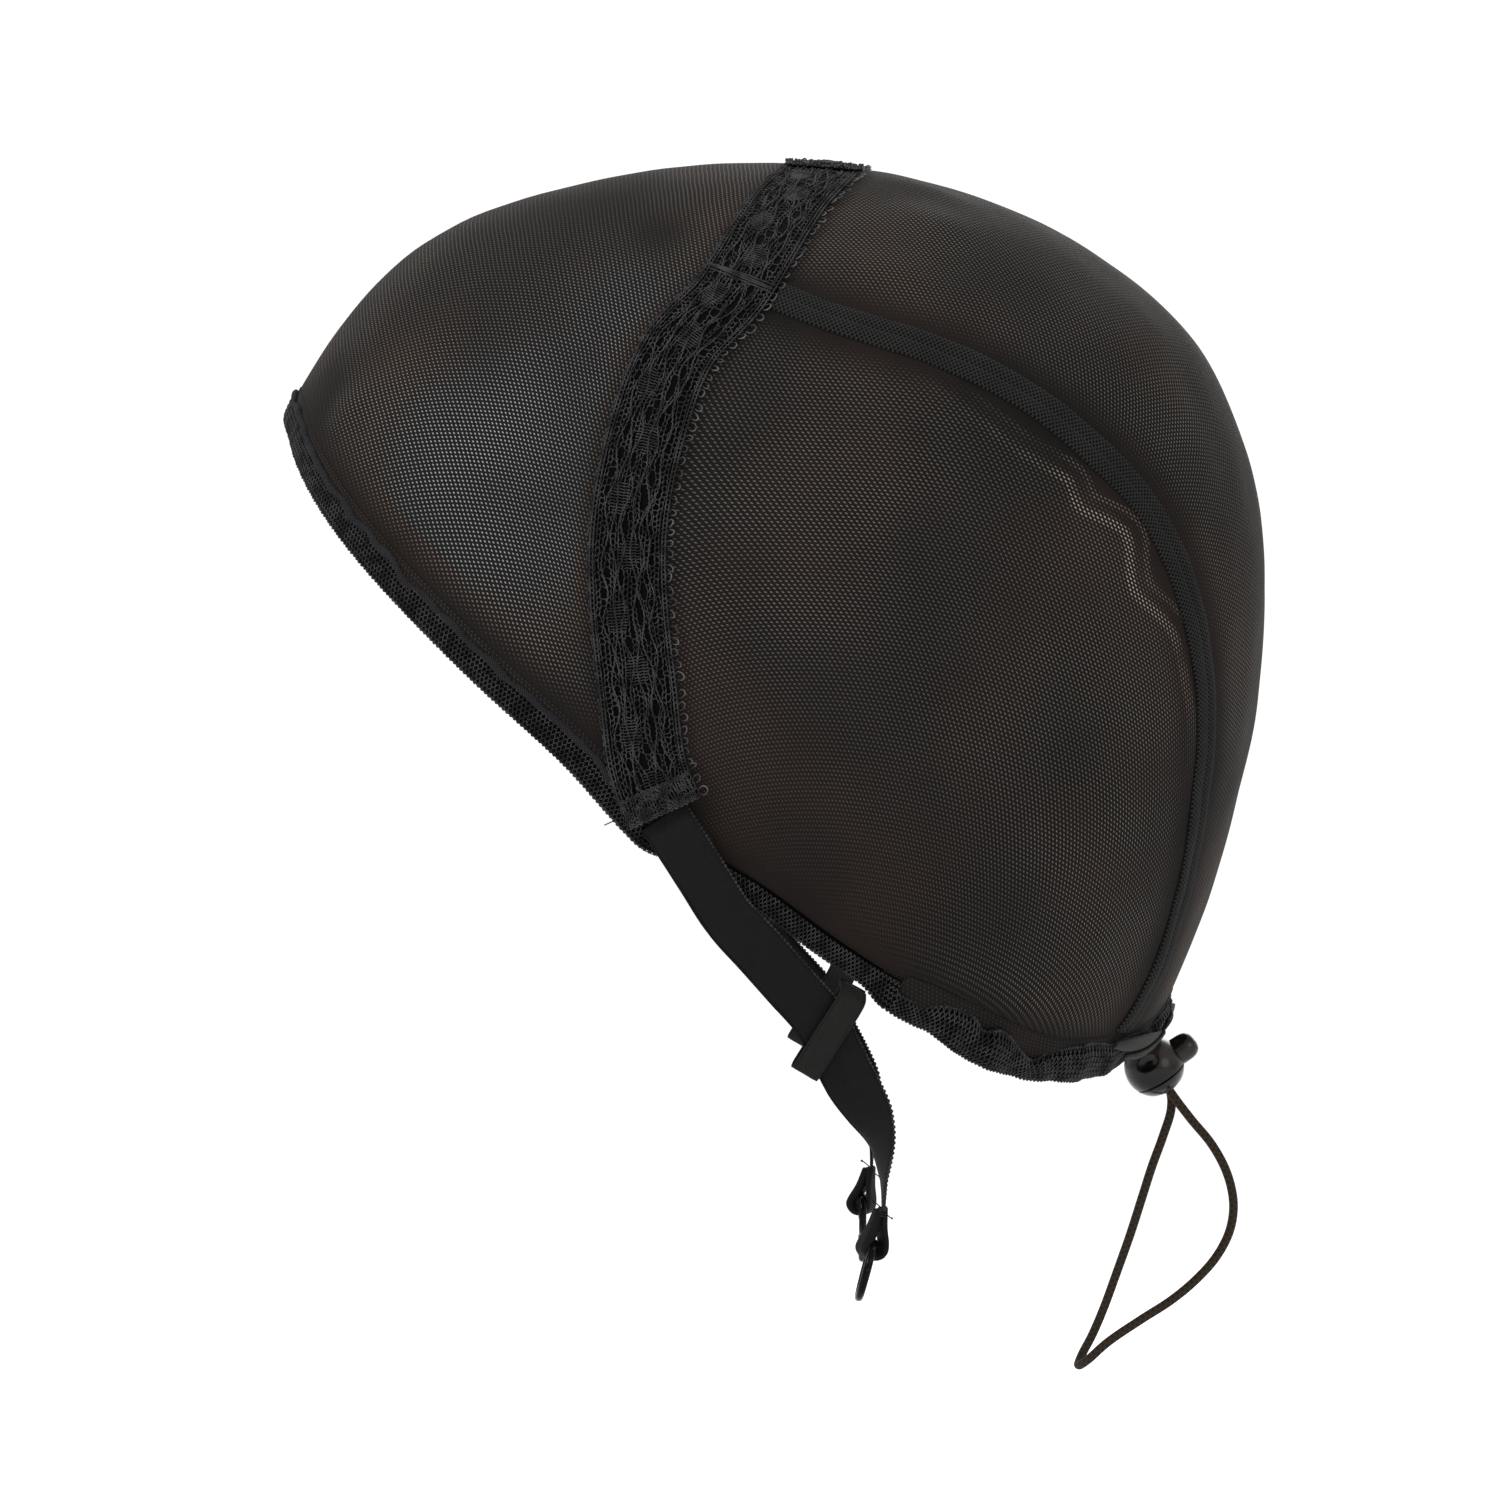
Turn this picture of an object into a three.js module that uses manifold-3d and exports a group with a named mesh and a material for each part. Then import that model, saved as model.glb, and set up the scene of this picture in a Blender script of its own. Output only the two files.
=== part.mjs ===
// Net wig cap with a lace band, seam tapes, elastic straps and a drawstring nape.
// Millimetres, +Z up. The front of the cap faces -Y and the wearer's left is +X.
// The origin is the inside of the crown, where the cap sits on the head.
import * as THREE from 'three';
import { mergeVertices } from 'three/addons/utils/BufferGeometryUtils.js';
import Module from 'manifold-3d';

const wasm = await Module();
wasm.setup();

// Cap: three sizes of the inner skin, measured from a centre level with the temples.
const HALF_WIDTH = 76;
const HALF_LENGTH = 97.4;
const CROWN_RISE = 86;
const CENTRE_FORWARD = 11.2;
// Exponent of the rounded cross-sections, and how much wider the back is than the front.
const ROUNDNESS = 2.25;
const BACK_FULLNESS = 0.04;

// Cloth
const GAP = 0.3;
const NET_WALL = 1.0;
const SEAM_SPACE = 1.0;
const EDGE_SPACE = 0.6;
const SEAM_FOOT = 4;
const LACE_WIDTH = 15;
const LACE_WALL = 1.0;
const LACE_HOLE_ROWS = 18;
const CROWN_HOLE_ROWS = 7;
const CROWN_LACE_LENGTH = 52;
const LACE_OVERLAP = 4;
const LACE_FOLD = 5;
const LACE_STEP = 3.2;
const CROWN_LACE_STEP = 4;
const TAPE_WIDTH = 5;
const TAPE_WALL = 1.0;
const TAPE_EDGE = 0.8;
const HEM_WIDTH = 6;
const HEM_WALL = 2.0;
const HEM_EDGE = 1.2;
const CASING_HEIGHT = 9;
const CASING_WALL = 2.8;
const GATHER_PITCH = 11;
const GATHER_DEPTH = 0.6;
const CASING_BLEND = 6;
const CORD_TAPE_LENGTH = 8;
const CORD_TAPE_WIDTH = 4.4;
const CORD_TAPE_WALL = 1.0;

// Straps, their keepers and the hardware at their ends
const STRAP_WIDTH = 9.8;
const STRAP_WALL = 1.0;
const STRAP_EASE = 0.6;
const STRAP_LOOP_DROP = 9.4;
const STRAP_LOOP_WIDTH = 5;
const STRAP_LOOP_RIBBON = 5.4;
const STRAP_LOOP_SLACK = 0.4;
const KEEPER_WIDTH = 5.2;
const KEEPER_WALL = 0.8;
const KEEPER_REACH = 19;
const KEEPER_SLACK = 0.8;
const KEEPER_STRAIGHT = 0.8;
const RING_DIAMETER = 12.4;
const RING_WIRE = 1.6;
const RING_LEAN = 15;
const HOOK_WIRE = 1.6;
const HOOK_EYE = 9.4;
const HOOK_LENGTH = 15;
const HOOK_BEND = 3.5;
const HOOK_TIP = 1.8;

// Cord lock and draw cord
const BALL_DIAMETER = 12;
const BARREL_WALL = 2.4;
const BARREL_END_WALL = 1.9;
const MOUTH_LIP = 0.5;
const BUTTON_STAND = 3.8;
const BUTTON_DOME = 1.7;
const STEM_WALL = 0.9;
const BUTTON_TRAVEL = 1.5;
const SLIDE_CLEARANCE = 0.3;
const CORD_DIAMETER = 1.8;
const LOCK_LEAN = 33;
const LOCK_SEAT_LEAN = 12;
const LOCK_EASE = 0.5;

// Outline of the skin seen from the side: reach from the centre, as a share of the sizes above.
// Turn is in degrees from the back, through the crown, to the front.
const PROFILE = [
  { turn: -55, reach: 1.275 },
  { turn: -40, reach: 1.14 },
  { turn: -25, reach: 1.05 },
  { turn: -5, reach: 1.005 },
  { turn: 20, reach: 1.025 },
  { turn: 35, reach: 1.045 },
  { turn: 50, reach: 1.03 },
  { turn: 70, reach: 1.01 },
  { turn: 90, reach: 1.0 },
  { turn: 110, reach: 1.025 },
  { turn: 132, reach: 1.078 },
  { turn: 152, reach: 1.07 },
  { turn: 175, reach: 1.06 },
  { turn: 200, reach: 1.12 },
  { turn: 230, reach: 1.3 },
  { turn: 270, reach: 1.42 },
];

// Lines on the left half of the cap, as shares of half length (along) and crown rise (up).
// Across is a share of half width. Where it is left out, it follows from the skin.
const HEM_ROWS = [
  { across: 0, along: -0.971, up: 0.447 },
  { across: 0.3, along: -0.95, up: 0.4 },
  { along: -0.931, up: 0.335 },
  { along: -0.856, up: 0.191 },
  { along: -0.701, up: -0.012 },
  { along: -0.55, up: -0.181 },
  { along: -0.387, up: -0.349 },
  { along: -0.216, up: -0.554 },
  { along: -0.037, up: -0.677 },
  { along: 0.111, up: -0.799 },
  { along: 0.221, up: -0.88 },
  { along: 0.372, up: -0.966 },
  { along: 0.536, up: -1.042 },
  { across: 0.42, along: 0.63, up: -1.055 },
  { across: 0.2, along: 0.722, up: -0.985 },
  { across: 0, along: 0.775, up: -0.933 },
];
const LACE_ROWS = [
  { along: -0.2, up: -0.48 },
  { along: -0.235, up: -0.393 },
  { along: -0.256, up: -0.217 },
  { along: -0.274, up: -0.019 },
  { along: -0.274, up: 0.135 },
  { along: -0.239, up: 0.349 },
  { along: -0.179, up: 0.528 },
  { along: -0.074, up: 0.664 },
  { across: 0.54, along: 0.045, up: 0.9 },
  { across: 0.34, along: 0.1, up: 0.975 },
  { across: 0, along: 0.115, up: 1.0 },
];
const TAPE_ROWS = [
  { along: -0.02, up: 0.665 },
  { along: 0.123, up: 0.604 },
  { along: 0.365, up: 0.509 },
  { along: 0.594, up: 0.348 },
  { along: 0.732, up: 0.196 },
  { along: 0.822, up: -0.02 },
  { along: 0.856, up: -0.225 },
  { along: 0.85, up: -0.43 },
  { along: 0.832, up: -0.6 },
  { across: 0.41, along: 0.8, up: -0.76 },
  { across: 0.4, along: 0.72, up: -0.95 },
];
// Where the gathered casing takes over from the plain hem.
const CASING_START = { along: 0.24, up: -0.893 };

// Soft folds of the net: a ridge from one place to another, with its height and width as shares
// of the two sizes above it.
const FOLD_HEIGHT = 0.8;
const FOLD_WIDTH = 8;
const FOLDS = [
  { from: { along: 0.2, up: 0.955 }, to: { along: 0.43, up: 0.86 }, high: 1, wide: 0.88 },
  { from: { along: 0.19, up: 0.87 }, to: { along: 0.44, up: 0.79 }, high: 0.87, wide: 0.88 },
  { from: { along: 0.1, up: 0.72 }, to: { along: 0.32, up: 0.7 }, high: 0.87, wide: 0.88 },
  { from: { along: -0.88, up: 0.36 }, to: { along: -0.78, up: 0.47 }, high: 1, wide: 0.75 },
  { from: { along: 0.45, up: -0.9 }, to: { along: 0.5, up: -0.62 }, high: 1, wide: 1 },
  { from: { along: 0.6, up: -0.9 }, to: { along: 0.64, up: -0.66 }, high: 1, wide: 1 },
];

// Strap from under the lace end: first on the cap, then hanging below the hem.
// Twist turns the strap about its own length, and width is a share of the strap's width.
const STRAP_ON_CAP = [
  { along: -0.179, up: -0.535 },
  { along: -0.145, up: -0.585 },
  { along: -0.105, up: -0.64 },
  { along: -0.06, up: -0.705 },
];
const STRAP_HANGING = [
  { across: 0.938, along: -0.008, up: -0.785, twist: 0, width: 1 },
  { across: 0.907, along: 0.056, up: -0.88, twist: 0, width: 1 },
  { across: 0.88, along: 0.097, up: -0.947, twist: 0, width: 1 },
  { across: 0.862, along: 0.125, up: -1.011, twist: 0, width: 1 },
  { across: 0.847, along: 0.158, up: -1.083, twist: 7, width: 1 },
  { across: 0.836, along: 0.196, up: -1.158, twist: 32, width: 0.97 },
  { across: 0.828, along: 0.217, up: -1.223, twist: 58, width: 0.86 },
  { across: 0.825, along: 0.221, up: -1.305, twist: 82, width: 0.68 },
  { across: 0.825, along: 0.221, up: -1.37, twist: 90, width: 0.55 },
];
// Where the keeper leaves the hem, and where it crosses the strap.
const KEEPER_ROOT = { along: 0.165, up: -0.862 };
const KEEPER_CROSSING = 0.54;

// Free draw cord, in mm: out of the casing, through the lock, round the hanging loop and back.
const CORD_ROUTE = [
  [-1.05, 62.53, -174.55],
  [-1.05, 64.1, -176.97],
  [-1.05, 65.63, -179.33],
  [-1.05, 67.16, -181.68],
  [-1.05, 68.9, -184.36],
  [-1.3, 69.1, -187.9],
  [-1.9, 67.5, -193.4],
  [-3, 65.4, -199.4],
  [-4.4, 63.4, -206],
  [-5.7, 61.2, -213.2],
  [-6.9, 58.6, -220.8],
  [-7.9, 55.9, -228.4],
  [-8.2, 53.6, -233.8],
  [-7, 51.5, -237.6],
  [-4.2, 50.7, -239.4],
  [-1.5, 52.3, -238.2],
  [0, 56.4, -234.4],
  [0.4, 62.8, -230],
  [0.6, 69, -226],
  [0.8, 73.8, -222],
  [1, 77.9, -217.4],
  [1.2, 80.6, -212.2],
  [1.3, 81.4, -206.8],
  [1.3, 80.2, -200.8],
  [1.25, 77.2, -195],
  [1.15, 72.8, -189.6],
  [1.05, 69.3, -184.98],
  [1.05, 67.16, -181.68],
  [1.05, 65.63, -179.33],
  [1.05, 64.1, -176.97],
  [1.05, 62.53, -174.55],
];
const CORD_STEPS = 54;

const cap = new THREE.Group();

const MATERIALS = {
  net: { color: 0x2c2622, roughness: 0.9, metalness: 0 },
  lace: { color: 0x22252a, roughness: 0.85, metalness: 0 },
  tape: { color: 0x211e1c, roughness: 0.9, metalness: 0 },
  hem: { color: 0x232526, roughness: 0.95, metalness: 0 },
  elastic: { color: 0x1c1c1e, roughness: 0.6, metalness: 0 },
  ribbon: { color: 0x262624, roughness: 0.55, metalness: 0 },
  wire: { color: 0x111112, roughness: 0.25, metalness: 0.6 },
  plastic: { color: 0x2b2725, roughness: 0.3, metalness: 0 },
  cord: { color: 0x32281f, roughness: 0.8, metalness: 0 },
};

function addPiece(name, geometry, look) {
  const mesh = new THREE.Mesh(geometry, new THREE.MeshStandardMaterial(MATERIALS[look]));
  mesh.name = name;
  cap.add(mesh);
  return mesh;
}

// Reach of the outline at any turn: a smooth curve through the profile's rows.
function reachAt(turn) {
  const count = PROFILE.length;
  const first = PROFILE[0].turn;
  const wrapped = first + THREE.MathUtils.euclideanModulo(turn - first, 360);
  const rowAt = (k) => {
    const row = PROFILE[THREE.MathUtils.euclideanModulo(k, count)];
    return { turn: row.turn + 360 * Math.floor(k / count), reach: row.reach };
  };
  let k = 0;
  while (k + 1 < count && PROFILE[k + 1].turn <= wrapped) {
    k += 1;
  }
  const [before, low, high, after] = [rowAt(k - 1), rowAt(k), rowAt(k + 1), rowAt(k + 2)];
  const span = high.turn - low.turn;
  const lowSlope = (high.reach - before.reach) / (high.turn - before.turn) * span;
  const highSlope = (after.reach - low.reach) / (after.turn - low.turn) * span;
  const s = (wrapped - low.turn) / span;
  const rise = s * s * (3 - 2 * s);
  const bend = s * (1 - s);
  return low.reach + (high.reach - low.reach) * rise
    + bend * ((1 - s) * lowSlope - s * highSlope);
}

const turnOf = (direction) => THREE.MathUtils.radToDeg(Math.atan2(direction.z, direction.y));

// Point of the smooth skin in a direction given in shares of the three cap sizes.
function skinBase(direction) {
  const flat = Math.hypot(direction.y, direction.z);
  const side = flat > 0 ? flat / reachAt(turnOf(direction)) : 0;
  const size = (Math.abs(direction.x) ** ROUNDNESS + side ** ROUNDNESS) ** (-1 / ROUNDNESS);
  const along = direction.y * size;
  return new THREE.Vector3(
    direction.x * size * HALF_WIDTH * (1 + BACK_FULLNESS * along),
    along * HALF_LENGTH - CENTRE_FORWARD,
    (direction.z * size - 1) * CROWN_RISE,
  );
}

// The direction that a point lies in, in shares of the three cap sizes.
function directionOf(point) {
  const along = (point.y + CENTRE_FORWARD) / HALF_LENGTH;
  const up = point.z / CROWN_RISE + 1;
  return new THREE.Vector3(point.x / (HALF_WIDTH * (1 + BACK_FULLNESS * along)), along, up);
}

function skinNormal(direction) {
  const step = 0.01;
  const unit = direction.clone().normalize();
  const spare = Math.abs(unit.x) < 0.7 ? new THREE.Vector3(1, 0, 0) : new THREE.Vector3(0, 1, 0);
  const first = new THREE.Vector3().crossVectors(unit, spare).normalize();
  const second = new THREE.Vector3().crossVectors(unit, first);
  const slope = (tangent) => skinBase(unit.clone().addScaledVector(tangent, step))
    .sub(skinBase(unit.clone().addScaledVector(tangent, -step)));
  const normal = new THREE.Vector3().crossVectors(slope(first), slope(second)).normalize();
  return normal.dot(unit) < 0 ? normal.negate() : normal;
}

// Direction of a table row on the left half, or on the right half with side = -1.
function rowDirection(row, side = 1) {
  const ratio = Math.hypot(row.along, row.up) / reachAt(turnOf({ y: row.along, z: row.up }));
  const across = row.across ?? Math.max(0, 1 - ratio ** ROUNDNESS) ** (1 / ROUNDNESS);
  return new THREE.Vector3(side * across, row.along, row.up);
}

const foldLines = FOLDS.flatMap((fold) => [1, -1].map((side) => ({
  ...fold,
  line: new THREE.Line3(
    skinBase(rowDirection(fold.from, side)),
    skinBase(rowDirection(fold.to, side)),
  ),
})));

// Height of the soft folds at a point: highest half way along a fold, flat at its ends.
function foldHeight(point) {
  const nearest = new THREE.Vector3();
  let height = 0;
  for (const fold of foldLines) {
    const share = fold.line.closestPointToPointParameter(point, true);
    fold.line.at(share, nearest);
    const away = nearest.distanceTo(point) / (fold.wide * FOLD_WIDTH / 2);
    height += fold.high * FOLD_HEIGHT * Math.sin(Math.PI * share) * Math.exp(-away * away / 2);
  }
  return height;
}

function skin(direction, lift) {
  const point = skinBase(direction);
  return point.addScaledVector(skinNormal(direction), lift + foldHeight(point));
}

// A curve on the skin through table rows, walked by its own length.
function lineOnSkin(directions, closed = false) {
  return new THREE.CatmullRomCurve3(directions.map(skinBase), closed, 'centripetal');
}

function along(line, share) {
  const place = line.closed ? THREE.MathUtils.euclideanModulo(share, 1) : share;
  return directionOf(line.getPointAt(THREE.MathUtils.clamp(place, 0, 1)));
}

// A direction some mm to the side of a line: the outward normal crossed with the way it runs.
function beside(line, share, distance) {
  const step = 0.002;
  const here = along(line, share);
  const from = line.closed ? share - step : Math.max(share - step, 0);
  const to = line.closed ? share + step : Math.min(share + step, 1);
  const run = skinBase(along(line, to)).sub(skinBase(along(line, from)));
  const sideways = new THREE.Vector3().crossVectors(skinNormal(here), run).normalize();
  return directionOf(skinBase(here).addScaledVector(sideways, distance));
}

// Share of a line's length that is nearest to a point.
function nearestShare(line, point, samples = 800) {
  let best = 0;
  let least = Infinity;
  for (let k = 0; k <= samples / 2; k += 1) {
    const gap = line.getPointAt(k / samples).distanceTo(point);
    if (gap < least) {
      least = gap;
      best = k / samples;
    }
  }
  return best;
}

const leftRows = (rows) => rows.map((row) => rowDirection(row));
const rightRows = (rows) => rows.map((row) => rowDirection(row, -1));

const hemLine = lineOnSkin(
  [...leftRows(HEM_ROWS), ...rightRows(HEM_ROWS).slice(1, -1).reverse()],
  true,
);
const laceLine = lineOnSkin([...leftRows(LACE_ROWS), ...rightRows(LACE_ROWS).slice(0, -1).reverse()]);
const hemLength = hemLine.getLength();
const laceLength = laceLine.getLength();
const laceFoot = skinBase(along(laceLine, 0));
const tuckShare = nearestShare(laceLine, skinBase(rowDirection(TAPE_ROWS[0])));
const earShare = nearestShare(hemLine, laceFoot);
const casingShare = nearestShare(hemLine, skinBase(rowDirection(CASING_START)));
const tapeFootShare = nearestShare(hemLine, skinBase(rowDirection(TAPE_ROWS.at(-1))));

// Half of the band's width at a place on the hem line: the plain hem widens into the casing.
function hemHalf(share) {
  const fromFront = Math.min(share, 1 - share) * hemLength;
  const start = casingShare * hemLength;
  const blend = THREE.MathUtils.smoothstep(fromFront, start - CASING_BLEND, start + CASING_BLEND);
  return THREE.MathUtils.lerp(HEM_WIDTH, CASING_HEIGHT, blend) / 2;
}

function hemEdge(share) {
  return beside(hemLine, share, hemHalf(share) + EDGE_SPACE);
}

// The seam tapes run from the lace to the upper edge of the casing.
const tapeFoot = hemEdge(tapeFootShare);
const tapePath = (side) => lineOnSkin([
  along(laceLine, tuckShare),
  ...leftRows(TAPE_ROWS).slice(1, -1),
  tapeFoot,
].map((direction) => new THREE.Vector3(direction.x * side, direction.y, direction.z)));
const tapeLines = { left: tapePath(1), right: tapePath(-1) };

// How high a band has to lie to clear the net, or the hem where it crosses that. It steps down
// from the hem to the net over a short way beside the hem's edge.
const stepStart = HEM_WIDTH / 2 + EDGE_SPACE;
const hemPlaces = Array.from({ length: 400 }, (_, k) => hemLine.getPointAt(k / 400));
function clearLift(direction) {
  const point = skinBase(direction);
  const away = Math.min(...hemPlaces.map((place) => place.distanceTo(point)));
  const share = THREE.MathUtils.smoothstep(away, stepStart, stepStart + LACE_STEP);
  return GAP + THREE.MathUtils.lerp(HEM_WALL, NET_WALL, share);
}

// Closed shell from a grid of places: an outer and an inner face, and walls round every edge.
// pointAt(i, j, outer) gives the corners, and isOpen(i, j) leaves a cell out.
function shell(rows, columns, pointAt, isOpen = () => false) {
  const positions = [];
  const indices = [];
  const ids = new Map();
  const corner = (i, j, outer) => {
    const key = `${i},${j},${outer}`;
    if (!ids.has(key)) {
      ids.set(key, positions.length / 3);
      positions.push(...pointAt(i, j, outer).toArray());
    }
    return ids.get(key);
  };
  const quad = (a, b, c, d) => indices.push(a, b, c, a, c, d);
  const solid = (i, j) => i >= 0 && j >= 0 && i < rows && j < columns && !isOpen(i, j);
  for (let i = 0; i < rows; i += 1) {
    for (let j = 0; j < columns; j += 1) {
      if (!solid(i, j)) {
        continue;
      }
      const ring = [[i, j], [i + 1, j], [i + 1, j + 1], [i, j + 1]];
      const outer = ring.map(([a, b]) => corner(a, b, true));
      const inner = ring.map(([a, b]) => corner(a, b, false));
      quad(...outer);
      quad(inner[3], inner[2], inner[1], inner[0]);
      const neighbours = [[i, j - 1], [i + 1, j], [i, j + 1], [i - 1, j]];
      neighbours.forEach(([a, b], side) => {
        const next = (side + 1) % 4;
        if (!solid(a, b)) {
          quad(inner[side], inner[next], outer[next], outer[side]);
        }
      });
    }
  }
  return facingOut(positions, indices);
}

// Geometry with its faces turned outwards, by the sign of its volume.
function facingOut(positions, indices) {
  const at = (id) => new THREE.Vector3().fromArray(positions, id * 3);
  let volume = 0;
  for (let k = 0; k < indices.length; k += 3) {
    volume += at(indices[k]).dot(at(indices[k + 1]).cross(at(indices[k + 2])));
  }
  const order = volume > 0 ? indices : [...indices].reverse();
  const geometry = new THREE.BufferGeometry();
  geometry.setAttribute('position', new THREE.Float32BufferAttribute(positions, 3));
  geometry.setIndex(order);
  geometry.computeVertexNormals();
  return geometry;
}

// Net panel between four edges, each a function from 0 to 1 that gives a direction.
function panel(rows, columns, { start, end, low, high }) {
  const corners = { a: low(0), b: low(1), c: high(0), d: high(1) };
  const directionAt = (s, t) => {
    const total = new THREE.Vector3();
    total.addScaledVector(low(t), 1 - s).addScaledVector(high(t), s);
    total.addScaledVector(start(s), 1 - t).addScaledVector(end(s), t);
    total.addScaledVector(corners.a, -(1 - s) * (1 - t)).addScaledVector(corners.b, -(1 - s) * t);
    total.addScaledVector(corners.c, -s * (1 - t)).addScaledVector(corners.d, -s * t);
    return total;
  };
  return shell(rows, columns, (i, j, outer) => (
    skin(directionAt(j / columns, i / rows), outer ? NET_WALL : 0)
  ));
}

// Rows and columns of each panel's grid, and where the side panel turns from lace to tape.
const PANEL_GRIDS = { front: [26, 9], side: [24, 8], back: [22, 10] };
const SIDE_CORNER = 0.4;

const between = (a, b) => (s) => a.clone().lerp(b, s);

// Shares of the hem line that leave half a seam's space, and a plain gap.
const hemSeam = SEAM_SPACE / 2 / hemLength;
const seamFoot = SEAM_FOOT / laceLength;
const hemGap = GAP / 2 / hemLength;

function makeFrontPanel() {
  const low = (t) => hemEdge(THREE.MathUtils.lerp(-1, 1, t) * (earShare - hemSeam));
  const high = (t) => beside(laceLine, THREE.MathUtils.lerp(1 - seamFoot, seamFoot, t), SEAM_SPACE / 2);
  const [from, to] = [low(0), low(1)];
  return panel(...PANEL_GRIDS.front, {
    low: (t) => low(1 - t),
    high: (t) => high(1 - t),
    start: between(to, high(1)),
    end: between(from, high(0)),
  });
}

function makeSidePanel(side) {
  const mirror = (direction) => new THREE.Vector3(direction.x * side, direction.y, direction.z);
  const tape = tapeLines.left;
  const high = (t) => {
    if (t <= SIDE_CORNER) {
      const share = THREE.MathUtils.lerp(seamFoot, tuckShare, t / SIDE_CORNER);
      return beside(laceLine, share, -SEAM_SPACE / 2);
    }
    const share = (t - SIDE_CORNER) / (1 - SIDE_CORNER);
    return beside(tape, share, -SEAM_SPACE / 2);
  };
  const low = (t) => hemEdge(THREE.MathUtils.lerp(earShare + hemSeam, tapeFootShare - hemSeam, t));
  return panel(...PANEL_GRIDS.side, {
    low: (t) => mirror(low(t)),
    high: (t) => mirror(high(t)),
    start: (s) => mirror(between(low(0), high(0))(s)),
    end: (s) => mirror(between(low(1), high(1))(s)),
  });
}

function makeBackPanel() {
  const left = (t) => beside(tapeLines.left, t, SEAM_SPACE / 2);
  const right = (t) => beside(tapeLines.right, t, -SEAM_SPACE / 2);
  const crown = (s) => {
    if (s === 0 || s === 1) {
      return s === 0 ? left(0) : right(0);
    }
    const share = THREE.MathUtils.lerp(tuckShare, 1 - tuckShare, s);
    return beside(laceLine, share, -SEAM_SPACE / 2);
  };
  const nape = (s) => {
    if (s === 0 || s === 1) {
      return s === 0 ? left(1) : right(1);
    }
    return hemEdge(THREE.MathUtils.lerp(tapeFootShare, 1 - tapeFootShare, s));
  };
  return panel(...PANEL_GRIDS.back, { low: left, high: right, start: crown, end: nape });
}

// Band that lies on the skin along a line. Rows are places along it, columns go across it.
function bandOnSkin({ line, from, to, rows, columns, half, low, high, isOpen }) {
  return shell(rows, columns.length - 1, (i, j, outer) => {
    const share = THREE.MathUtils.lerp(from, to, i / rows);
    const direction = beside(line, share, columns[j] * half(share, j));
    return skin(direction, outer ? high(share, j, direction) : low(share, j, direction));
  }, isOpen);
}

const onNet = NET_WALL + GAP;
const onHem = HEM_WALL + GAP;
const crownHalfShare = CROWN_LACE_LENGTH / 2 / laceLength;
const overlapShare = LACE_OVERLAP / laceLength;

// How far the crown lace leaves the bend of the side bands, from 0 to 1.
const CROWN_LACE_STRAIGHT = 0.7;
// Lace columns: border, open row, middle, open row, border.
const LACE_COLUMNS = [-1, -0.64, -0.3, 0.3, 0.64, 1];
const laceOpen = (rows) => (i, j) => (j === 1 || j === 3) && i % 2 === 1 && i < rows - 1;

function makeLaceBand(side) {
  const rows = LACE_HOLE_ROWS * 2 + 1;
  const top = 0.5 - crownHalfShare + overlapShare;
  const foldStart = LACE_FOLD / laceLength;
  return bandOnSkin({
    line: laceLine,
    from: side > 0 ? 0 : 1,
    to: side > 0 ? top : 1 - top,
    rows,
    columns: LACE_COLUMNS,
    half: () => LACE_WIDTH / 2,
    low: (share, j, direction) => clearLift(direction),
    high: (share, j, direction) => {
      const folded = Math.min(share, 1 - share) < foldStart;
      return clearLift(direction) + LACE_WALL * (folded ? 2 : 1);
    },
    isOpen: laceOpen(rows),
  });
}

function makeLaceCrown() {
  const rows = CROWN_HOLE_ROWS * 2 + 1;
  const stacked = onNet + LACE_WALL + GAP;
  const climbEnd = crownHalfShare - (LACE_OVERLAP + CROWN_LACE_STEP / 2) / laceLength;
  const climbStart = climbEnd - CROWN_LACE_STEP / laceLength;
  const liftAt = (share) => {
    const away = Math.abs(share - 0.5) * 2 * crownHalfShare;
    const step = THREE.MathUtils.smoothstep(away, climbStart, climbEnd);
    return THREE.MathUtils.lerp(onNet, stacked, step);
  };
  return bandOnSkin({
    line: crownLine(),
    from: 0,
    to: 1,
    rows,
    columns: LACE_COLUMNS,
    half: () => LACE_WIDTH / 2,
    low: liftAt,
    high: (share) => liftAt(share) + LACE_WALL,
    isOpen: laceOpen(rows),
  });
}

// The crown length of lace runs straight across, so it leaves the bent line of the side bands.
function crownLine() {
  const apex = skinBase(along(laceLine, 0.5));
  const ends = skinBase(along(laceLine, 0.5 - crownHalfShare));
  const straight = THREE.MathUtils.lerp(ends.y, apex.y, CROWN_LACE_STRAIGHT);
  const places = [1, 0.5, 0, -0.5, -1].map((side) => {
    const share = 0.5 - side * crownHalfShare;
    const point = skinBase(along(laceLine, share));
    point.y = THREE.MathUtils.lerp(apex.y, straight, Math.abs(side));
    return directionOf(point);
  });
  return lineOnSkin(places);
}

// Rows of the grids of the tapes and hems.
const TAPE_GRID_ROWS = 24;
const HEM_GRID_ROWS = { front: 46, side: 14 };

function makeSeamTape(side) {
  const line = side > 0 ? tapeLines.left : tapeLines.right;
  const length = line.getLength();
  const start = (LACE_WIDTH / 2 + GAP * 2) / length;
  return bandOnSkin({
    line,
    from: start,
    to: 1 - GAP / length,
    rows: TAPE_GRID_ROWS,
    columns: [-1, 0, 1],
    half: () => TAPE_WIDTH / 2,
    low: () => onNet,
    high: (share, j) => onNet + (j === 1 ? TAPE_WALL : TAPE_EDGE),
  });
}

function makeHem(from, to, rows) {
  return bandOnSkin({
    line: hemLine,
    from,
    to,
    rows,
    columns: [-1, 0, 1],
    half: hemHalf,
    low: () => 0,
    high: (share, j) => (j === 1 ? HEM_WALL : HEM_EDGE),
  });
}

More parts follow.
